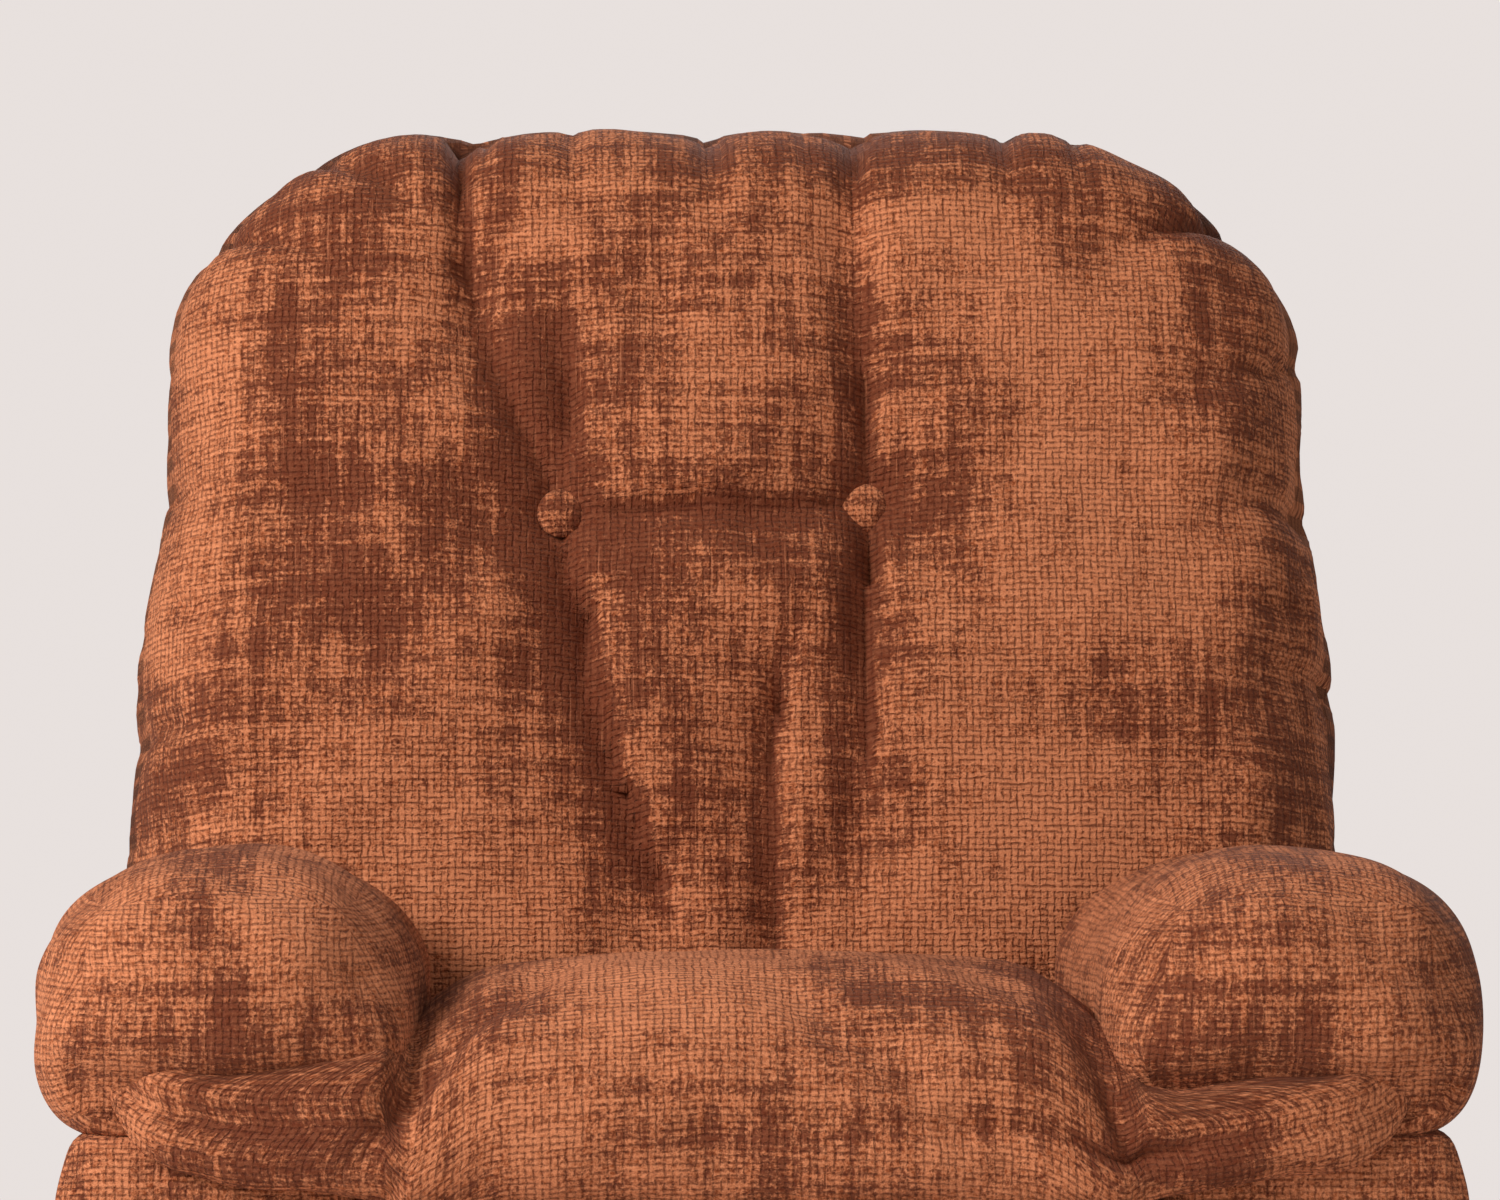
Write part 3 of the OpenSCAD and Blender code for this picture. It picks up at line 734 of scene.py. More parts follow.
class Upholstery:
    """A stuffed piece grown from one block; each side of the block is a cloth panel."""

    def __init__(self, name: str, cells: tuple[int, int, int]) -> None:
        """Cuts the block.

        Args:
            name: Name of the piece.
            cells: Number of cells along X, Y and Z.
        """
        self.cells = np.array(cells)
        self.piece = self._cut_block(name)
        self.grid = np.rint((self.points() + 1) / 2 * self.cells).astype(int)
        self.unit = self.grid / self.cells * 2.0 - 1
        self.hold = np.zeros(len(self.grid))
        # Painted shade at each point: a positive value darkens the cloth and a negative one lightens it.
        self.painted_shading = np.zeros(len(self.grid))

    def _cut_block(self, name: str) -> bpy.types.Object:
        """Adds a cube and cuts each direction's edges into cells.

        Args:
            name: Name of the piece.

        Returns:
            The block, from -1 to 1 on each axis.
        """
        deselect_all()
        bpy.ops.mesh.primitive_cube_add(size=2)
        piece = bpy.context.object
        piece.name = name
        bpy.ops.object.mode_set(mode="EDIT")
        bpy.context.tool_settings.mesh_select_mode = (False, True, False)
        for axis, count in enumerate(self.cells):
            bpy.ops.mesh.select_all(action="DESELECT")
            mesh = bmesh.from_edit_mesh(piece.data)
            for edge in mesh.edges:
                edge.select_set(abs(edge.verts[0].co[axis] - edge.verts[1].co[axis]) > 1.9)
            bmesh.update_edit_mesh(piece.data)
            bpy.ops.mesh.subdivide(number_cuts=int(count) - 1)
        bpy.ops.object.mode_set(mode="OBJECT")
        return piece

    def points(self) -> Array:
        """Returns the mesh's points, one row each."""
        out = np.zeros(len(self.piece.data.vertices) * 3)
        self.piece.data.vertices.foreach_get("co", out)
        return out.reshape(-1, 3)

    def normals(self) -> Array:
        """Returns the outward direction at each point."""
        self.piece.data.update()
        out = np.zeros(len(self.piece.data.vertices) * 3)
        self.piece.data.vertex_normals.foreach_get("vector", out)
        return out.reshape(-1, 3)

    def place(self, points: Array) -> None:
        """Puts the mesh's points where the array says.

        Args:
            points: New places, one row each.
        """
        self.piece.data.vertices.foreach_set("co", np.asarray(points, np.float64).ravel())
        self.piece.data.update()

    def press(self, depth: Array) -> None:
        """Moves each point inward along its normal.

        Args:
            depth: Distance in metres at each point.
        """
        self.place(self.points() - self.normals() * depth[:, None])

    def on(self, panel: Panel) -> Array:
        """Which points belong to a panel.

        Args:
            panel: The panel.

        Returns:
            True for each point on it, seams included.
        """
        axis, end = panel.value
        return self.grid[:, axis] == end * self.cells[axis]

    def unfold(self, flat: dict[Panel, Array] | None = None) -> None:
        """Lays the cloth's own map, in metres, from the lengths along each panel's threads.

        Args:
            flat: Ready unrolled places for some panels.
        """
        mesh = self.piece.data
        points = self.points()
        corner_points = np.zeros(len(mesh.loops), int)
        mesh.loops.foreach_get("vertex_index", corner_points)
        corners = corner_points.reshape(-1, 4)
        while mesh.uv_layers:
            mesh.uv_layers.remove(mesh.uv_layers[0])
        layer = mesh.uv_layers.new(name="cloth")
        laid = np.zeros((len(mesh.loops) // 4, 4, 2))
        for panel in Panel:
            axis, end = panel.value
            on_panel = self.on(panel)
            faces = on_panel[corners].all(1)
            if flat and panel in flat:
                laid[faces] = flat[panel][corners[faces]]
                continue
            across, up = [a for a in range(3) if a != axis]
            table = np.full((self.cells[across] + 1, self.cells[up] + 1), -1)
            mine = np.flatnonzero(on_panel)
            table[self.grid[mine, across], self.grid[mine, up]] = mine
            sheet = points[table]
            here = np.zeros((len(points), 2))
            for k, way in enumerate((0, 1)):
                steps = np.linalg.norm(np.diff(sheet, axis=way), axis=2)
                start = np.zeros_like(np.take(steps, [0], way))
                run = np.concatenate([start, np.cumsum(steps, axis=way)], axis=way)
                run -= np.take(run, [run.shape[way] // 2], way)
                here[table.ravel(), k] = run.ravel()
            laid[faces] = here[corners[faces]] + np.array([0.013 * axis + 0.37 * end, 0.0])
        layer.data.foreach_set("uv", laid.ravel())

    def settle(self, pressure: float, slack: float, cap: float, frames: int = 16) -> None:
        """Inflates the cloth over its filling, and keeps each point near where it was cut.

        Args:
            pressure: Filling pressure.
            slack: Share by which the cloth is larger than the form.
            cap: How far a point may move, in metres.
            frames: Length of the simulation.
        """
        before = self.points()
        group = self.piece.vertex_groups.new(name="held")
        for level in np.unique(np.round(self.hold, 1)):
            if level > 0:
                group.add(np.flatnonzero(np.round(self.hold, 1) == level).tolist(), float(level), "REPLACE")
        activate(self.piece)
        cloth = self.piece.modifiers.new("Cloth", "CLOTH")
        settings = {
            "quality": 4, "mass": 0.25, "tension_stiffness": 12, "compression_stiffness": 12,
            "shear_stiffness": 4, "bending_stiffness": 0.25, "air_damping": 4, "use_pressure": True,
            "uniform_pressure_force": pressure, "shrink_min": -slack, "shrink_max": -slack,
            "vertex_group_mass": "held",
        }
        for key, value in settings.items():
            setattr(cloth.settings, key, value)
        cloth.settings.effector_weights.gravity = 0
        cloth.point_cache.frame_end = frames
        for number in range(1, frames + 1):
            bpy.context.scene.frame_set(number)
        bpy.ops.object.modifier_apply(modifier=cloth.name)
        bpy.context.scene.frame_set(1)
        moved = self.points() - before
        length = np.linalg.norm(moved, axis=1)
        share = np.where(length > 1e-9, cap * np.tanh(length / cap) / np.maximum(length, 1e-9), 0)
        self.place(before + moved * share[:, None])
        self.piece.vertex_groups.clear()

    def shell(self, way: Vector, wall: float, near: Callable[[Vector], bool] | None = None) -> None:
        """Opens the form on one side and gives its cloth a padded thickness.

        Args:
            way: The direction that opens.
            wall: Thickness of the padding in metres.
            near: A test of a face's middle, where only some may go.
        """
        activate(self.piece)
        bpy.ops.object.mode_set(mode="EDIT")
        bpy.context.tool_settings.mesh_select_mode = (False, False, True)
        bpy.ops.mesh.select_all(action="DESELECT")
        mesh = bmesh.from_edit_mesh(self.piece.data)
        for face in mesh.faces:
            looks = face.normal.dot(way) > FACES_AWAY
            face.select_set(bool(looks and (near is None or near(face.calc_center_median()))))
        bmesh.update_edit_mesh(self.piece.data)
        bpy.ops.mesh.delete(type="FACE")
        bpy.ops.object.mode_set(mode="OBJECT")
        self.painted_shading = np.zeros(0)
        apply_modifier(self.piece, "SOLIDIFY", thickness=wall, offset=-1)

    def sew(self, shop: Workshop, body: str, nodes: Sequence[str],
            levels: int = 1) -> bpy.types.Object:
        """Finishes the piece: stores its painted shade as a point attribute, subdivides, dresses and ties
        it to its body.

        Args:
            shop: The finishes.
            body: CAD body it rides on.
            nodes: CAD nodes it stands for.
            levels: Rounds of subdivision.

        Returns:
            The finished object.
        """
        # The painted shade goes on the mesh as a point attribute for the cloth to read.
        layer = self.piece.data.attributes.new("painted_shading", "FLOAT", "POINT")
        if len(self.painted_shading) == len(layer.data):
            layer.data.foreach_set("value", np.clip(self.painted_shading, -1, 1.5).astype(np.float32))
        if levels:
            apply_modifier(self.piece, "SUBSURF", levels=levels, render_levels=levels)
        activate(self.piece)
        bpy.ops.object.shade_smooth()
        shop.cover(self.piece, "chenille")
        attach(self.piece, body)
        if nodes:
            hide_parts(*nodes)
        LOG.info("%s: %d faces", self.piece.name, len(self.piece.data.polygons))
        return self.piece


@dataclass
class BackFrame:
    """The leaning plane of the back: across X, depth v to the rear and height w along the lean."""

    lean: float = math.radians(14)
    hinge: Vector = field(default_factory=lambda: joint_place("recline"))

    def world(self, x: Array, v: Array, w: Array) -> Array:
        """Places in the chair's frame.

        Args:
            x: Across.
            v: Depth behind the hinge plane.
            w: Height along the lean.

        Returns:
            One row of X, Y, Z each.
        """
        y = self.hinge.y + v * math.cos(self.lean) + w * math.sin(self.lean)
        z = self.hinge.z - v * math.sin(self.lean) + w * math.cos(self.lean)
        return np.stack([x, y, z], axis=1)

    def ahead(self) -> Vector:
        """Direction square to the plane, towards the sitter."""
        return Vector((0, -math.cos(self.lean), math.sin(self.lean)))


def joint_place(name: str) -> Vector:
    """Where a joint's axis lies.

    Args:
        name: The joint's name.

    Returns:
        A point on the axis.
    """
    return Vector(next(j["pos_m"] for j in frame["joints"] if j["name"] == name))


@dataclass(frozen=True)
class BackOutline:
    """Outline of the back in its leaning plane: straight sides, round shoulders, small heels."""

    foot: float
    head: float
    foot_half: float
    head_half: float
    shoulders: tuple[float, float] = (0.176, 0.188)
    heel: float = 0.035

    def half_width(self, w: Array) -> Array:
        """Half the width at a height, with a slight wave in the sides."""
        t = (w - self.foot) / (self.head - self.foot)
        return self.foot_half + (self.head_half - self.foot_half) * t**1.4 + 0.004 * np.sin(w * 22)

    def lay(self, unit: Array) -> tuple[Array, Array, Array, Array]:
        """Lays a block's cross grid inside the outline.

        Args:
            unit: Places on the block.

        Returns:
            Across, height, distance inside the outline and the outward direction.
        """
        w0 = (self.head + self.foot) / 2 + unit[:, 2] * (self.head - self.foot) / 2
        shoulder = np.where(unit[:, 0] < 0, *self.shoulders)
        radius = np.where(unit[:, 2] > 0, shoulder, self.heel)
        half = self.half_width(w0)
        x0 = unit[:, 0] * half
        core = np.stack([np.clip(x0, -half + radius, half - radius),
                         np.clip(w0, self.foot + self.heel, self.head - shoulder)], 1)
        offset = np.stack([x0, w0], 1) - core
        square = np.abs(offset).max(1)
        out = offset / np.maximum(np.linalg.norm(offset, axis=1), 1e-9)[:, None]
        plane = core + out * square[:, None]
        edge = np.minimum(half - np.abs(x0), np.minimum(w0 - self.foot, self.head - w0))
        inside = np.where(np.abs(offset).min(1) > 1e-9, radius - square, edge)
        return plane[:, 0], plane[:, 1], inside, out

    def roll_rim(self, unit: Array, roll: float) -> tuple[Array, Array, Array, Array, Array]:
        """Lays a block's cross grid with its rim drawn out, ready to roll over.

        Args:
            unit: Places on the block.
            roll: Radius of the rolled rim in metres.

        Returns:
            Across, height, turn of the rim from 0 to 1, distance inside it and the outward direction.
        """
        x, w, inside, out = self.lay(unit)
        t = np.clip(1 - inside / roll, 0, 1)
        rolled = np.where(t > 0, roll * (1 - np.sin(t * math.pi / 2)), inside)
        x += out[:, 0] * (inside - rolled)
        w += out[:, 1] * (inside - rolled)
        return x, w, t, rolled, out


@dataclass
class BackCushion:
    """The tufted back cushion with round shoulders, and its two covered buttons."""

    shop: Workshop
    plane: BackFrame
    outline: BackOutline = BackOutline(0.022, 0.772, 0.457, 0.402)
    front: float = -0.181
    rear: float = -0.031
    crown: float = 0.026
    roll: float = 0.070
    buttons: tuple[tuple[float, float], ...] = ((-0.133, 0.458), (0.099, 0.469))
    # Painted shade and painted light: soft spots (across, up, half width, half height, strength); positive
    # strengths paint shade, negative ones paint light.
    painted_shading_spots: tuple[tuple[float, ...], ...] = (
        (0.0, .755, .50, .07, .50), (-.155, .56, .035, .10, .50), (-.02, .55, .09, .07, -.55),
        (.20, .50, .07, .09, -.50), (.34, .55, .07, .16, .45), (-.02, .43, .10, .035, .35),
        (-.28, .40, .10, .03, .35), (-.25, .19, .13, .09, -.35), (.25, .22, .08, .08, -.50),
        (.43, .25, .06, .25, .50), (-.43, .30, .10, .30, .30), (-.30, .66, .08, .05, .45),
        (.05, .10, .20, .06, -.30))
    proud: tuple[float, float] = (0.011, 0.016)
    puff: float = 0.010
    dimple_deep: float = 0.042
    dimple_wide: float = 0.028
    # Crease depth that sets the strength of the painted shade in creases and dimples.
    crease_shade_depth: float = 0.024
    bottoms: list[Array] = field(default_factory=list)

    def creases(self) -> list[Crease]:
        """The pull lines from the buttons and the gathers round the edge.

        Returns:
            All creases of the front panel.
        """
        left, right = ((*button, 0.034) for button in self.buttons)
        lines = [
            Crease([left, (-.140, .480, .030), (-.160, .520, .028), (-.178, .560, .026),
                    (-.192, .600, .022), (-.201, .640, .024), (-.206, .690, .024),
                    (-.208, .745, .030), (-.207, .830, .022)], .012, .022),
            Crease([(-.128, .470, .028), (-.123, .530, .026), (-.124, .590, .018),
                    (-.126, .640, .000)], .038, .004),
            Crease([right, (.099, .490, .032), (.096, .560, .027), (.093, .640, .022),
                    (.091, .720, .020), (.100, .800, .022)], .024, .006),
            Crease([left, (-.126, .435, .038), (-.110, .375, .040), (-.100, .300, .038),
                    (-.074, .220, .034), (-.050, .160, .022), (-.036, .115, .001)], .005, .046),
            Crease([right, (.100, .440, .038), (.098, .370, .036), (.096, .290, .030),
                    (.091, .215, .020), (.088, .170, .001)], .005, .034),
            Crease([(.052, .395, .001), (.038, .335, .026), (.026, .281, .032), (.027, .236, .028),
                    (.029, .180, .026), (.029, .110, .026), (.029, .020, .016)], .005, .030),
            Crease([left, (-.105, .461, .024), (-.020, .463, .018), (.070, .467, .024), right],
                   .005, .034),
            Crease([left, (-.165, .459, .010), (-.260, .462, .006), (-.420, .470, .005)], .034, .022),
            Crease([right, (.130, .470, .010), (.230, .474, .005), (.430, .480, .007)], .016, .030),
            Crease([(-.054, .560, .001), (-.052, .610, .009), (-.046, .670, .008),
                    (-.045, .720, .001)], .022, .005),
            Crease([(.046, .575, .001), (.042, .630, .008), (.032, .690, .007),
                    (.026, .730, .001)], .020, .006),
        ]
        gathers = ((-.186, .014), (-.120, .006), (-.016, .018), (.055, .006), (.205, .012),
                   (.262, .008))
        lines += [self.top_gather(x, deep) for x, deep in gathers]
        sides = ((-.300, .745, .016, .8), (-.372, .680, .012, .4), (-.420, .480, .006, .1),
                 (.338, .692, .024, .45), (.385, .570, .012, .3), (.410, .470, .014, .05),
                 (.425, .340, .008, .0), (-.432, .300, .007, .0))
        lines += [self.side_gather(*side) for side in sides]
        return lines

    def top_gather(self, x: float, deep: float) -> Crease:
        """A short gather that runs over the top edge.

        Args:
            x: Where it crosses the edge.
            deep: Its depth.

        Returns:
            The gather.
        """
        w = self.outline.head - 0.020
        points = [(x, w - .120, 0.0), (x, w - .050, deep * .45), (x, w, deep), (x * 1.02, w + .130, deep)]
        return Crease(points, .013, .009)

    def side_gather(self, x: float, w: float, deep: float, slope: float) -> Crease:
        """A short gather that runs over the side edge.

        Args:
            x: Where it crosses the edge.
            w: Its height there.
            deep: Its depth.
            slope: Rise per metre outward.

        Returns:
            The gather.
        """
        way = math.copysign(1, x)
        stops = ((-.075, 0.0), (-.030, .5), (.020, 1.0), (.120, 1.0))
        return Crease([(x + way * run, w + run * slope, deep * share) for run, share in stops], .012, .018)

    def build(self) -> bpy.types.Object:
        """Shapes, tufts and sews the cushion.

        Returns:
            The cushion.
        """
        form = Upholstery("back_cushion_stuffed", (150, 18, 140))
        unit = form.unit
        in_front = form.on(Panel.FRONT)
        x, w, t, rolled, out = self.outline.roll_rim(unit, self.roll)
        back_share = (unit[:, 1] + 1) / 2
        upright = np.clip(1 - ((w - .36) / .42) ** 2, 0, 1)
        belly = self.crown * (1 - (x / self.outline.foot_half) ** 2) * upright
        face = self.front + self.crown - belly
        boxing = face + self.roll
        v = np.where(in_front, face + self.roll * (1 - np.cos(t * math.pi / 2)),
                     boxing + (self.rear - boxing) * back_share)
        v = np.where(form.on(Panel.REAR), self.rear, v)
        puff = self.puff * np.sin(back_share * math.pi) * (~in_front)
        x, w = x + out[:, 0] * puff, w + out[:, 1] * puff
        arc = self.roll * t * math.pi / 2 - (self.roll - rolled) * (t > 0)
        beyond = np.where(in_front, arc, self.roll * (math.pi / 2 - 1) + np.clip(v - boxing, 0, 1))
        flat = np.stack([x + out[:, 0] * beyond, w + out[:, 1] * beyond], 1)
        form.place(self.plane.world(x, v, w))
        form.unfold({Panel.FRONT: flat})
        ahead = np.clip(1 - (v - boxing) / (self.rear - boxing), 0, 1)
        dent = gather(self.creases(), flat) * ahead
        dimple = np.zeros(len(dent))
        for bx, bw in self.buttons:
            reach = np.hypot(flat[:, 0] - bx, flat[:, 1] - bw)
            bowl = self.dimple_deep * np.exp(-((reach / self.dimple_wide) ** 1.2))
            dimple = np.maximum(dimple, bowl)
        dent = np.maximum(dent, dimple)
        # Painted shade: darker where creases and button dimples press deepest, plus the painted shade and
        # light spots.
        form.painted_shading = 1.5 * (dent / self.crease_shade_depth) ** 1.5 + painted_spot_shading(flat, self.painted_shading_spots)
        dent -= 0.0035 * lumps(form.points(), 0.17, 0.7) * ahead
        form.press(dent)
        form.hold = np.clip((dent - 0.007) / 0.006, 0, 1)
        form.hold[form.on(Panel.REAR) | form.on(Panel.UNDER)] = 1
        form.settle(3.0, 0.015, 0.012)
        points = form.points()
        self.bottoms = [points[np.argmin(np.hypot(flat[:, 0] - bx, flat[:, 1] - bw) + FAR * ~in_front)]
                        for bx, bw in self.buttons]
        return form.sew(self.shop, "back", ["back_cushion"], 0)

    def build_buttons(self) -> bpy.types.Object:
        """Covers the two buttons and seats them in their dimples.

        Returns:
            Both buttons as one piece.
        """
        made = []
        out = self.plane.ahead()
        turn = out.to_track_quat("Z", "Y").to_matrix().to_4x4()
        for place, proud in zip(self.bottoms, self.proud):
            deselect_all()
            bpy.ops.mesh.primitive_uv_sphere_add(segments=40, ring_count=20, radius=0.0185)
            button = bpy.context.object
            bpy.ops.object.mode_set(mode="EDIT")
            bpy.ops.mesh.select_all(action="SELECT")
            bpy.ops.transform.resize(value=(1, 1, 0.52))
            bpy.ops.object.mode_set(mode="OBJECT")
            layer = button.data.uv_layers.active
            layer.name = "cloth"
            for loop in button.data.loops:
                co = button.data.vertices[loop.vertex_index].co
                layer.data[loop.index].uv = (co.x * 1.1, co.y * 1.1)
            button.data.transform(Matrix.Translation(Vector(place) + out * proud) @ turn)
            made.append(button)
        activate(made[0])
        made[1].select_set(True)
        bpy.ops.object.join()
        piece = bpy.context.object
        piece.name = "tuft_buttons_covered"
        smooth(piece, 60)
        self.shop.cover(piece, "chenille")
        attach(piece, "back")
        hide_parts("tuft_buttons")
        return piece


@dataclass
class OutsideBack:
    """The padded outside back: a shell over the wooden frame, open towards the cushion."""

    shop: Workshop
    plane: BackFrame
    outline: BackOutline = BackOutline(0.024, 0.757, 0.431, 0.392)
    front: float = -0.0295
    rear: float = 0.036
    roll: float = 0.030
    wall: float = 0.008

    def build(self) -> bpy.types.Object:
        """Shapes and sews the shell.

        Returns:
            The outside back.
        """
        form = Upholstery("back_cover_padded", (64, 9, 56))
        x, w, t, _, _ = self.outline.roll_rim(form.unit, self.roll)
        share = (form.unit[:, 1] + 1) / 2
        edge = self.rear - self.roll
        behind = form.on(Panel.REAR)
        v = np.where(behind, self.rear - self.roll * (1 - np.cos(t * math.pi / 2)),
                     self.front + (edge - self.front) * share)
        form.place(self.plane.world(x, v, w))
        form.unfold()
        seams = [Crease([(side * .345, .05, .0045), (side * .335, .68, .0045)], .007, .007)
                 for side in (-1, 1)]
        seams.append(Crease([(-.30, .685, .003), (.30, .685, .003)], .007, .007))
        flat = np.stack([x, w], 1)
        form.press((gather(seams, flat) - 0.003 * lumps(form.points(), 0.21, 3.1) - 0.003) * behind)
        form.shell(self.plane.ahead(), self.wall)
        return form.sew(self.shop, "back", ["back_cover"])


@dataclass
class SeatCushion:
    """The T-shaped seat cushion, whose front band sweeps out into two ears under the arm pillows."""

    shop: Workshop
    stem: float = 0.2235
    root: float = 0.246
    tip: float = 0.4205
    front: float = -0.463
    band_rear: float = -0.4305
    under: float = 0.3445
    top: float = 0.4955
    side_drop: float = 0.030
    rear_gap: float = 0.006
    seam: float = 0.003
    # Painted shade and painted light on the front: soft spots (across, height, half width, half height,
    # strength); positive strengths paint shade, negative ones paint light.
    painted_shading_spots: tuple[tuple[float, ...], ...] = (
        (-.04, .475, .08, .03, -.55), (.18, .465, .07, .03, .55), (-.17, .47, .04, .03, .40),
        (.22, .38, .06, .02, .40), (-.33, .39, .07, .02, .35), (0.0, .41, .15, .02, -.25))
    counts: tuple[int, int, int] = (24, 9, 17)

    def across(self, steps: Array) -> Array:
        """Distance from the middle of each column along the front."""
        stem_n, wall_n, ear_n = self.counts
        stops = [0, stem_n, stem_n + wall_n, stem_n + wall_n + ear_n]
        return np.interp(steps, stops, [0, self.stem, self.root, self.tip])

    def ear_low(self, x: Array) -> Array:
        """Lower edge of the ear at a distance from the middle."""
        return np.interp(x, [0, .22, .27, .33, .38, .405, self.tip],
                         [self.under, self.under + .001, .3535, .3610, .3710, .3840, .4150])

    def ear_high(self, x: Array, sign: Array) -> Array:
        """Upper edge of the ear at a distance from the middle, on each side."""
        stops = [0, .235, .266, .310, .349, .390, .412, self.tip]
        right = np.interp(x, stops, [.432, .425, .4205, .4280, .4370, .4480, .4505, .4420])
        left = np.interp(x, stops, [.455, .452, .4470, .4420, .4425, .4490, .4505, .4420])
        return np.where(sign < 0, left, right)

    def build(self) -> bpy.types.Object:
        """Shapes and sews the cushion.

        Returns:
            The cushion.
        """
        half = sum(self.counts)
        form = Upholstery("seat_cushion_stuffed", (2 * half, 46, 26))
        steps = np.abs(form.grid[:, 0] - half).astype(float)
        sign = np.sign(form.grid[:, 0] - half)
        stem_n, wall_n, ear_n = self.counts
        x = self.across(steps)
        wall = np.clip((steps - stem_n) / wall_n, 0, 1)
        ear = ease(steps, stem_n + 1, stem_n + wall_n + 1)
        c = form.grid[:, 2] / form.cells[2]
        b = form.grid[:, 1] / form.cells[1]
        # Stem: one bulging front that rolls over onto the crown
        side_fall = self.side_drop * ease(x, self.stem - 0.055, self.root)
        crown = self.top - 0.012 * (x / self.stem) ** 2 - side_fall
        rise, reach, heel = 0.078, 0.115, 0.018
        heel_share, flat_share = 0.14, 0.36
        knee = crown - rise
        turn = np.clip((c - 0.5) / 0.5, 0, 1) * math.pi / 2
        low_turn = np.clip(1 - c / heel_share, 0, 1) * math.pi / 2
        climb = np.clip((c - heel_share) / flat_share, 0, 1)
        face_z = self.under + heel + (knee - self.under - heel) * climb
        stem_y = self.front + reach * (1 - np.cos(turn)) + heel * (1 - np.cos(low_turn))
        stem_z = np.where(c > 0.5, knee + rise * np.sin(turn), face_z - heel * np.sin(low_turn))
        # Ears: a flat pillow section
        low, high = self.ear_low(x), self.ear_high(x, sign)
        bow = (c - 0.5) * math.pi
        taper = np.clip((self.tip + 0.012 - x) / 0.05, 0.35, 1) ** 0.5
        thick = (self.band_rear - self.front) * taper
        hug = 0.013 * np.clip((x - 0.30) / 0.12, 0, 1) ** 2
        ear_y = self.band_rear - self.seam - (thick - hug - self.seam) * np.abs(np.cos(bow)) ** 0.42
        ear_z = (low + high) / 2 + (high - low) / 2 * np.sin(bow)
        front_y = stem_y + (ear_y - stem_y) * ear
        front_z = stem_z + (ear_z - stem_z) * ear
        # Rear path in plan: across the stem's rear, forward along its side, out behind the ear
        stem_rear = back_face((self.under + self.top) / 2) - self.rear_gap
        rear_y = stem_rear + (self.band_rear - stem_rear) * wall
        rear_top = (crown - 0.004) + (high - crown + 0.004) * ear
        rear_low = (self.under + 0.002) + (low - self.under - 0.002) * ear
        lift = 0.006 * np.sin(math.pi * c) * (1 - ear)
        rear_z = rear_low + (rear_top - rear_low) * c
        y = front_y + (rear_y + lift - front_y) * b
        z = front_z + (rear_z - front_z) * b
        on_top = form.on(Panel.TOP)
        hump, fall = 0.006, 0.034
        z = np.where(on_top, z + (hump * np.sin(math.pi * b) - fall * ease(b, 0.0, 1.0)) * (1 - ear), z)
        points = np.stack([sign * x, y, z], 1)
        form.place(points)
        form.unfold()
        arc = np.where(on_top & (b > 0), 0.5 + b, c * 0.20)
        flat = np.stack([sign * x, arc], 1)
        creases = [
            Crease([(.268, .088, .014), (.235, .084, .018), (.190, .080, .012), (.110, .074, .009),
                    (.000, .069, .006), (-.110, .067, .003)], .012, .034),
            Crease([(.258, .050, .006), (.244, .085, .016), (.226, .120, .016),
                    (.214, .160, .010)], .010, .014),
            Crease([(-.262, .060, .004), (-.246, .095, .012), (-.232, .125, .014),
                    (-.190, .158, .010), (-.140, .178, .003)], .016, .012),
        ]
        dent = gather(creases, flat) * form.on(Panel.FRONT)
        # Painted shade: darker where the creases press in, plus the painted shade and light spots.
        form.painted_shading = dent / 0.018 + painted_spot_shading(points[:, [0, 2]], self.painted_shading_spots)
        dent -= 0.0025 * lumps(points, 0.16, 1.9) * (form.on(Panel.FRONT) | on_top)
        form.press(dent)
        form.hold = np.clip((dent - 0.006) / 0.006, 0, 1)
        for panel in (Panel.REAR, Panel.UNDER, Panel.LEFT, Panel.RIGHT):
            form.hold[form.on(panel)] = 1
        form.settle(2.0, 0.01, 0.008)
        return form.sew(self.shop, "chassis", ["seat_cushion"])


def back_face(z: Array) -> Array:
    """Where the upright back's front face stands at a height.

    Args:
        z: Heights above the floor.

    Returns:
        Its y.
    """
    plane = BackFrame()
    near = plane.world(np.zeros(2), np.full(2, BackCushion.front), np.array([0.0, 1.0]))
    return near[0, 1] + (z - near[0, 2]) * (near[1, 1] - near[0, 1]) / (near[1, 2] - near[0, 2])


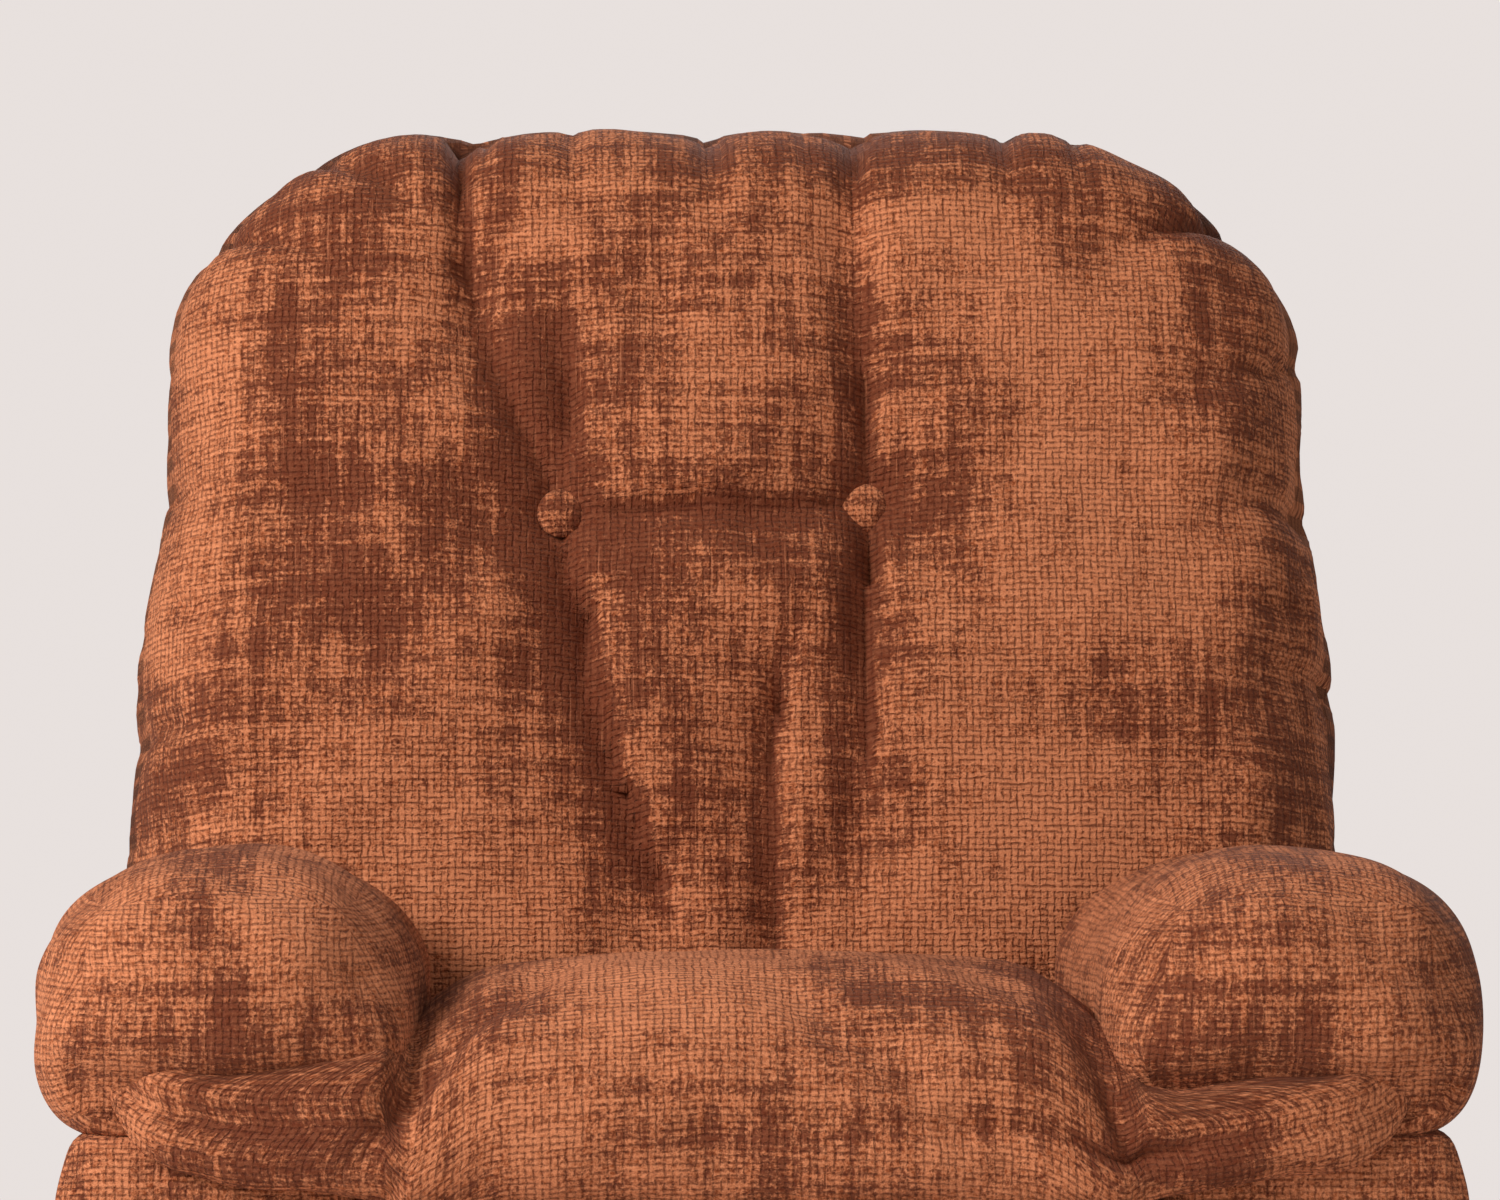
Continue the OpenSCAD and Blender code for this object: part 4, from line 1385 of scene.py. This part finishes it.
@dataclass
class ArmPillow:
    """An overstuffed pillow on one arm, round as a ball in front."""

    shop: Workshop
    side: str
    clear: float = 0.005
    sag: float = 0.006
    bulge: float = 0.009
    rear_fall: float = 0.020
    droop: float = 0.016
    behind_ear: float = 0.020

    def build(self) -> bpy.types.Object:
        """Shapes and sews the pillow.

        Returns:
            The pillow.
        """
        low, high = (np.array(c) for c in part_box(f"arm_pillow_{self.side}"))
        sign = 1 if self.side == "right" else -1
        form = Upholstery(f"arm_pillow_{self.side}_stuffed", (34, 70, 28))
        low[1] -= self.sag
        if sign > 0:
            high[0] += self.bulge
        else:
            low[0] -= self.bulge
        fullness = 2.15 + 1.5 * ease(-form.unit[:, 2], -0.3, 0.6)
        near, far = (0.122, 0.125, 0.086), (0.122, 0.060, 0.090)
        form.place(pillow_form(form.unit, low, high, near, far, fullness))
        points = form.points()
        upper = ease(points[:, 2], low[2], high[2])
        points[:, 2] -= self.rear_fall * ease(points[:, 1], -0.36, 0.05) * upper
        cut = np.maximum(high[1] - back_face(points[:, 2]) + self.clear, 0)
        points[:, 1] -= cut * ease(points[:, 1], high[1] - 0.16, high[1])
        mid = (low + high) / 2
        # The front swells down into a ball and is cut back behind the ear of the seat cushion
        ahead = ease(-points[:, 1], 0.28, 0.42)
        lower = np.clip((mid[2] - points[:, 2]) / (mid[2] - low[2]), 0, 1)
        outer = np.clip(sign * (points[:, 0] - mid[0]) / 0.12, -1, 1)
        overhang = np.maximum(ahead, ease(outer, 0.35, 0.9))
        points[:, 2] -= self.droop * lower * overhang * (0.7 + 0.3 * outer)
        under_ear = ease(0.452 - points[:, 2], 0, 0.03)
        points[:, 1] += self.behind_ear * ease(-points[:, 1], 0.425, 0.45) * under_ear
        form.place(points)
        form.unfold()
        points = form.points()
        puckers = 0.0035 * lumps(points, 0.15, 2.4 + sign)
        form.press(-puckers)
        form.hold = np.where(form.on(Panel.UNDER) | form.on(Panel.REAR), 1.0, 0.0)
        form.settle(1.5, 0.0, 0.006)
        return form.sew(self.shop, "chassis", [f"arm_pillow_{self.side}"])


@dataclass
class ArmCover:
    """The padded cover round one arm's boards, open underneath."""

    shop: Workshop
    side: str
    wall: float = 0.010
    step: float = 0.080
    step_z: float = 0.3735
    slope: float = 0.249
    belly_out: float = 0.008
    cheek_out: float = 0.017
    nose: float = 0.010

    def build(self) -> bpy.types.Object:
        """Shapes and sews the cover.

        Returns:
            The cover.
        """
        low, high = (np.array(c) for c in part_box(f"arm_cover_{self.side}"))
        sign = 1 if self.side == "right" else -1
        form = Upholstery(f"arm_cover_{self.side}_padded", (18, 56, 32))
        form.place(pillow_form(form.unit, low, high, (0.014, 0.030, 0.010), (0.014, 0.014, 0.012)))
        points = form.points()
        outer_side = Panel.RIGHT if sign > 0 else Panel.LEFT
        share = (points - low) / (high - low)
        across, along, up = (np.sin(math.pi * np.clip(share[:, k], 0, 1)) ** 0.5 for k in range(3))
        belly = along * up
        cheek = self.cheek_out * np.exp(-(((points[:, 2] - high[2] + 0.055) / 0.045) ** 2))
        cheek *= ease(-points[:, 1], 0.38, 0.42)
        # The side stays flat where the lever swings beside it
        lever_low, lever_high = (np.array(c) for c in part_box("lever_handle"))
        gap = np.maximum(lever_low[1] - points[:, 1], points[:, 1] - lever_high[1] - 0.02)
        belly *= ease(gap, 0.0, 0.10) if sign < 0 else 1.0
        points[:, 0] += sign * np.where(form.on(outer_side), self.belly_out * belly + cheek, 0)
        points[:, 1] -= np.where(form.on(Panel.FRONT), self.nose * across, 0)
        # The top steps down at the rear, where the back passes over it
        top = self.step_z - self.slope * np.maximum(points[:, 1] - self.step, 0)
        lowered = ease(points[:, 1], self.step - 0.026, self.step - 0.006)
        kept = 1 - lowered * (1 - (top - low[2]) / (high[2] - low[2]))
        points[:, 2] = low[2] + (points[:, 2] - low[2]) * kept
        form.place(points)
        form.unfold()
        form.shell(Vector((0, 0, -1)), self.wall, lambda place: place.z < low[2] + 0.006)
        return form.sew(self.shop, "chassis", [f"arm_cover_{self.side}"])


@dataclass
class PlainPad:
    """A flat padded piece: footrest pad or apron."""

    shop: Workshop
    name: str
    body: str
    low: Array
    high: Array
    cells: tuple[int, int, int]
    soft: Panel
    swell: float
    stands_for: tuple[str, ...] = ()
    channels: tuple[float, ...] = ()

    def build(self) -> bpy.types.Object:
        """Shapes and sews the pad.

        Returns:
            The pad.
        """
        form = Upholstery(self.name, self.cells)
        thin = min(self.high - self.low) * 0.48
        form.place(pillow_form(form.unit, self.low, self.high, (thin, thin, thin), (thin, thin, thin)))
        form.unfold()
        points = form.points()
        flat = points[:, [0, 2]]
        share = (points - self.low) / (self.high - self.low)
        across, up = (np.clip(share[:, k] * (1 - share[:, k]) * 4, 0, 1) for k in (0, 2))
        crown = across ** 0.4 * up ** 0.5
        on_face = form.on(self.soft)
        tall = self.high[2] - self.low[2]
        ends = (self.low[0] - .02, self.high[0] + .02)
        sewn = [Crease([(end, self.low[2] + tall * c, self.swell) for end in ends], .018, .018)
                for c in self.channels]
        dent = gather(sewn, flat) if sewn else np.zeros(len(points))
        # Painted shade: the cloth is painted darker along the sewn channels.
        form.painted_shading = dent * on_face / 0.012
        form.press((dent - self.swell * crown - 0.0015 * lumps(points, 0.13, 4.2)) * on_face)
        form.hold = np.where(on_face, np.clip((dent - 0.7 * self.swell) / 0.002, 0, 1), 1.0)
        form.settle(1.0, 0.0, 0.004, 10)
        return form.sew(self.shop, self.body, list(self.stands_for))


@dataclass
class EasedWood:
    """Wooden pieces with their sharp edges taken off."""

    shop: Workshop
    radius: float
    finish: str

    def build(self, node: str) -> bpy.types.Object:
        """Copies a node's shape, merges it and rounds its edges.

        Args:
            node: The CAD node.

        Returns:
            The eased piece.
        """
        source = frame["nodes"][node]
        piece = bpy.data.objects.new(f"{node}_eased", source.data.copy())
        bpy.context.scene.collection.objects.link(piece)
        activate(piece)
        bpy.ops.object.mode_set(mode="EDIT")
        bpy.ops.mesh.select_all(action="SELECT")
        bpy.ops.mesh.remove_doubles(threshold=0.00002)
        bpy.ops.mesh.dissolve_limited(angle_limit=math.radians(1))
        bpy.ops.object.mode_set(mode="OBJECT")
        apply_modifier(piece, "BEVEL", width=self.radius, segments=3, limit_method="ANGLE",
                       angle_limit=math.radians(35))
        smooth(piece, 35)
        self.shop.cover(piece, self.finish)
        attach(piece, source["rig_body"])
        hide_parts(node)
        LOG.info("%s: %d faces", piece.name, len(piece.data.polygons))
        return piece


# ---- Studio ----


@dataclass
class Studio:
    """Floor, lights and camera."""

    eye_height: float = 0.738
    distance: float = 4.4
    drift: float = 0.0283
    lens_per_metre: float = 37.3
    ambient: float = 0.29

    def build(self) -> None:
        """Sets the scene round the chair."""
        self.camera()
        self.floor()
        self.lights()
        self.air()

    def camera(self) -> None:
        """Places the level camera in front of the arms, a little to the left."""
        front = CAD_BOX[0].y + 0.02
        data = bpy.data.cameras.new("camera")
        data.sensor_width = 36
        data.lens = self.lens_per_metre * self.distance
        data.clip_end = 100
        eye = bpy.data.objects.new("camera", data)
        bpy.context.scene.collection.objects.link(eye)
        eye.location = (-0.0095 - self.drift * self.distance, front - self.distance, self.eye_height)
        eye.rotation_euler = (math.pi / 2, 0, -math.atan(self.drift))
        bpy.context.scene.camera = eye

    def floor(self) -> None:
        """Lays a round pale floor."""
        deselect_all()
        bpy.ops.mesh.primitive_circle_add(vertices=96, radius=3.1, fill_type="NGON")
        floor = bpy.context.object
        floor.name = "floor"
        w = Weaver("floor_paint")
        cloud = w.noise(w.spread("Object", (3, 3, 3)), 3.0)
        colour = w.blend(w.ramp(cloud, 0.3, 0.7), (0.74, 0.70, 0.675, 1), (0.78, 0.74, 0.715, 1))
        floor.data.materials.append(w.finish(colour, 0.7, None))

    def lights(self) -> None:
        """Hangs a large soft key to the upper left, a fill and a rim."""
        for name, place, size, power in (
            ("key", (-3.0, -2.3, 2.7), 1.6, 205),
            ("fill", (2.6, -3.6, 1.6), 2.6, 30),
            ("rear", (0.6, 3.4, 2.9), 2.4, 60),
        ):
            data = bpy.data.lights.new(name, "AREA")
            data.size = size
            data.energy = power
            lamp = bpy.data.objects.new(name, data)
            bpy.context.scene.collection.objects.link(lamp)
            lamp.location = place
            aim = Vector((0, 0, 0.65)) - Vector(place)
            lamp.rotation_euler = aim.to_track_quat("-Z", "Y").to_euler()

    def air(self) -> None:
        """Fills the room with pale even light."""
        world = bpy.data.worlds.new("room")
        world.use_nodes = True
        tree = world.node_tree
        wall = tree.nodes["Background"]
        wall.inputs["Color"].default_value = (0.806, 0.750, 0.728, 1)
        glow = tree.nodes.new("ShaderNodeBackground")
        glow.inputs["Color"].default_value = (1.0, 0.95, 0.92, 1)
        glow.inputs["Strength"].default_value = self.ambient
        seen = tree.nodes.new("ShaderNodeLightPath")
        mix = tree.nodes.new("ShaderNodeMixShader")
        tree.links.new(seen.outputs["Is Camera Ray"], mix.inputs[0])
        tree.links.new(glow.outputs[0], mix.inputs[1])
        tree.links.new(wall.outputs[0], mix.inputs[2])
        tree.links.new(mix.outputs[0], tree.nodes["World Output"].inputs["Surface"])
        bpy.context.scene.world = world
        bpy.context.scene.view_settings.view_transform = "Standard"


# ---- Frame finishes ----


@dataclass
class Carcass:
    """Finishes of the CAD pieces that stay as they are."""

    shop: Workshop
    finishes: dict[str, str] = field(default_factory=lambda: {
        "base_rail": "beech_deep", "base_cross": "beech_across", "seat_rail_left": "beech_deep",
        "seat_rail_right": "beech_deep", "seat_rail": "beech_across", "back_post": "beech_upright",
        "back_rail": "beech_across", "arm_board": "beech_deep", "arm_inner": "plywood_side",
        "arm_panel": "plywood_side", "footrest_board": "plywood_front", "mech_plate": "black_steel",
        "lift_link": "black_steel", "cross_link": "black_steel", "front_link": "black_steel",
        "carry_link": "black_steel", "footrest_bracket": "black_steel", "hinge_bracket": "black_steel",
        "lift_pins": "zinc_steel", "cross_pins": "zinc_steel", "front_pins": "zinc_steel",
        "carry_pins": "zinc_steel", "hinge_pins": "zinc_steel", "frame_bolts": "zinc_steel",
        "footrest_screws": "zinc_steel", "drive_shaft": "zinc_steel", "seat_springs": "zinc_steel",
        "spring_clips": "black_plastic", "lever_bezel": "black_plastic", "feet": "black_plastic",
        "lever_handle": "stained_lever", "seat_deck": "deck_felt", "back_webbing": "elastic_webbing",
    })

    def dress(self) -> None:
        """Gives each node the finish of the longest matching name."""
        for name, node in frame["nodes"].items():
            found = [k for k in self.finishes if name.startswith(k)]
            if found:
                self.shop.cover(node, self.finishes[max(found, key=len)])


def build_flat_pads(shop: Workshop) -> None:
    """Makes the footrest pad and the strips of cloth that close the seat box.

    Args:
        shop: The finishes.
    """
    low, high = (np.array(c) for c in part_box("footrest_pad"))
    # The pad is wrapped round the edges of its board
    lap, over_board = 0.0018, 0.0115
    low -= (lap, 0.0, lap)
    high += (lap, over_board, lap)
    PlainPad(shop, "footrest_pad_stuffed", "footrest", low, high, (60, 6, 30), Panel.FRONT, 0.007,
             ("footrest_pad",), (0.5,)).build()
    low, high = (np.array(c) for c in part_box("rear_apron"))
    PlainPad(shop, "rear_apron_padded", "chassis", low, high, (48, 4, 26), Panel.REAR, 0.005,
             ("rear_apron",)).build()
    low, high = (np.array(c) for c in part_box("seat_rail_front"))
    seat_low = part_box("seat_cushion")[0].z
    facing_low = np.array([low[0] + 0.001, low[1] - 0.009, low[2]])
    facing_high = np.array([high[0] - 0.001, low[1] - 0.0008, seat_low + 0.008])
    PlainPad(shop, "seat_front_apron", "chassis", facing_low, facing_high, (44, 3, 10),
             Panel.FRONT, 0.002).build()


def build_eased_wood(shop: Workshop) -> None:
    """Rounds the edges of the lever and of the plain boards.

    Args:
        shop: The finishes.
    """
    EasedWood(shop, 0.0035, "stained_lever").build("lever_handle")
    boards = {"beech_across": ("base_cross_front", "base_cross_rear", "seat_rail_front", "seat_rail_rear",
                               "back_rail_top", "back_rail_bottom"),
              "beech_deep": ("base_rail_left", "base_rail_right", "arm_board_left", "arm_board_right"),
              "beech_upright": ("back_post_left", "back_post_right")}
    for finish, nodes in boards.items():
        for node in nodes:
            EasedWood(shop, 0.0015, finish).build(node)


def main() -> None:
    """Builds the chair and its studio in order."""
    logging.basicConfig(level=logging.INFO, format="%(name)s: %(message)s")
    shop = Workshop()
    Studio().build()
    Carcass(shop).dress()
    back = BackCushion(shop, BackFrame())
    back.build()
    back.build_buttons()
    OutsideBack(shop, BackFrame()).build()
    SeatCushion(shop).build()
    for side in ("left", "right"):
        ArmPillow(shop, side).build()
        ArmCover(shop, side).build()
    build_flat_pads(shop)
    build_eased_wood(shop)


if __name__ == "__main__":
    main()
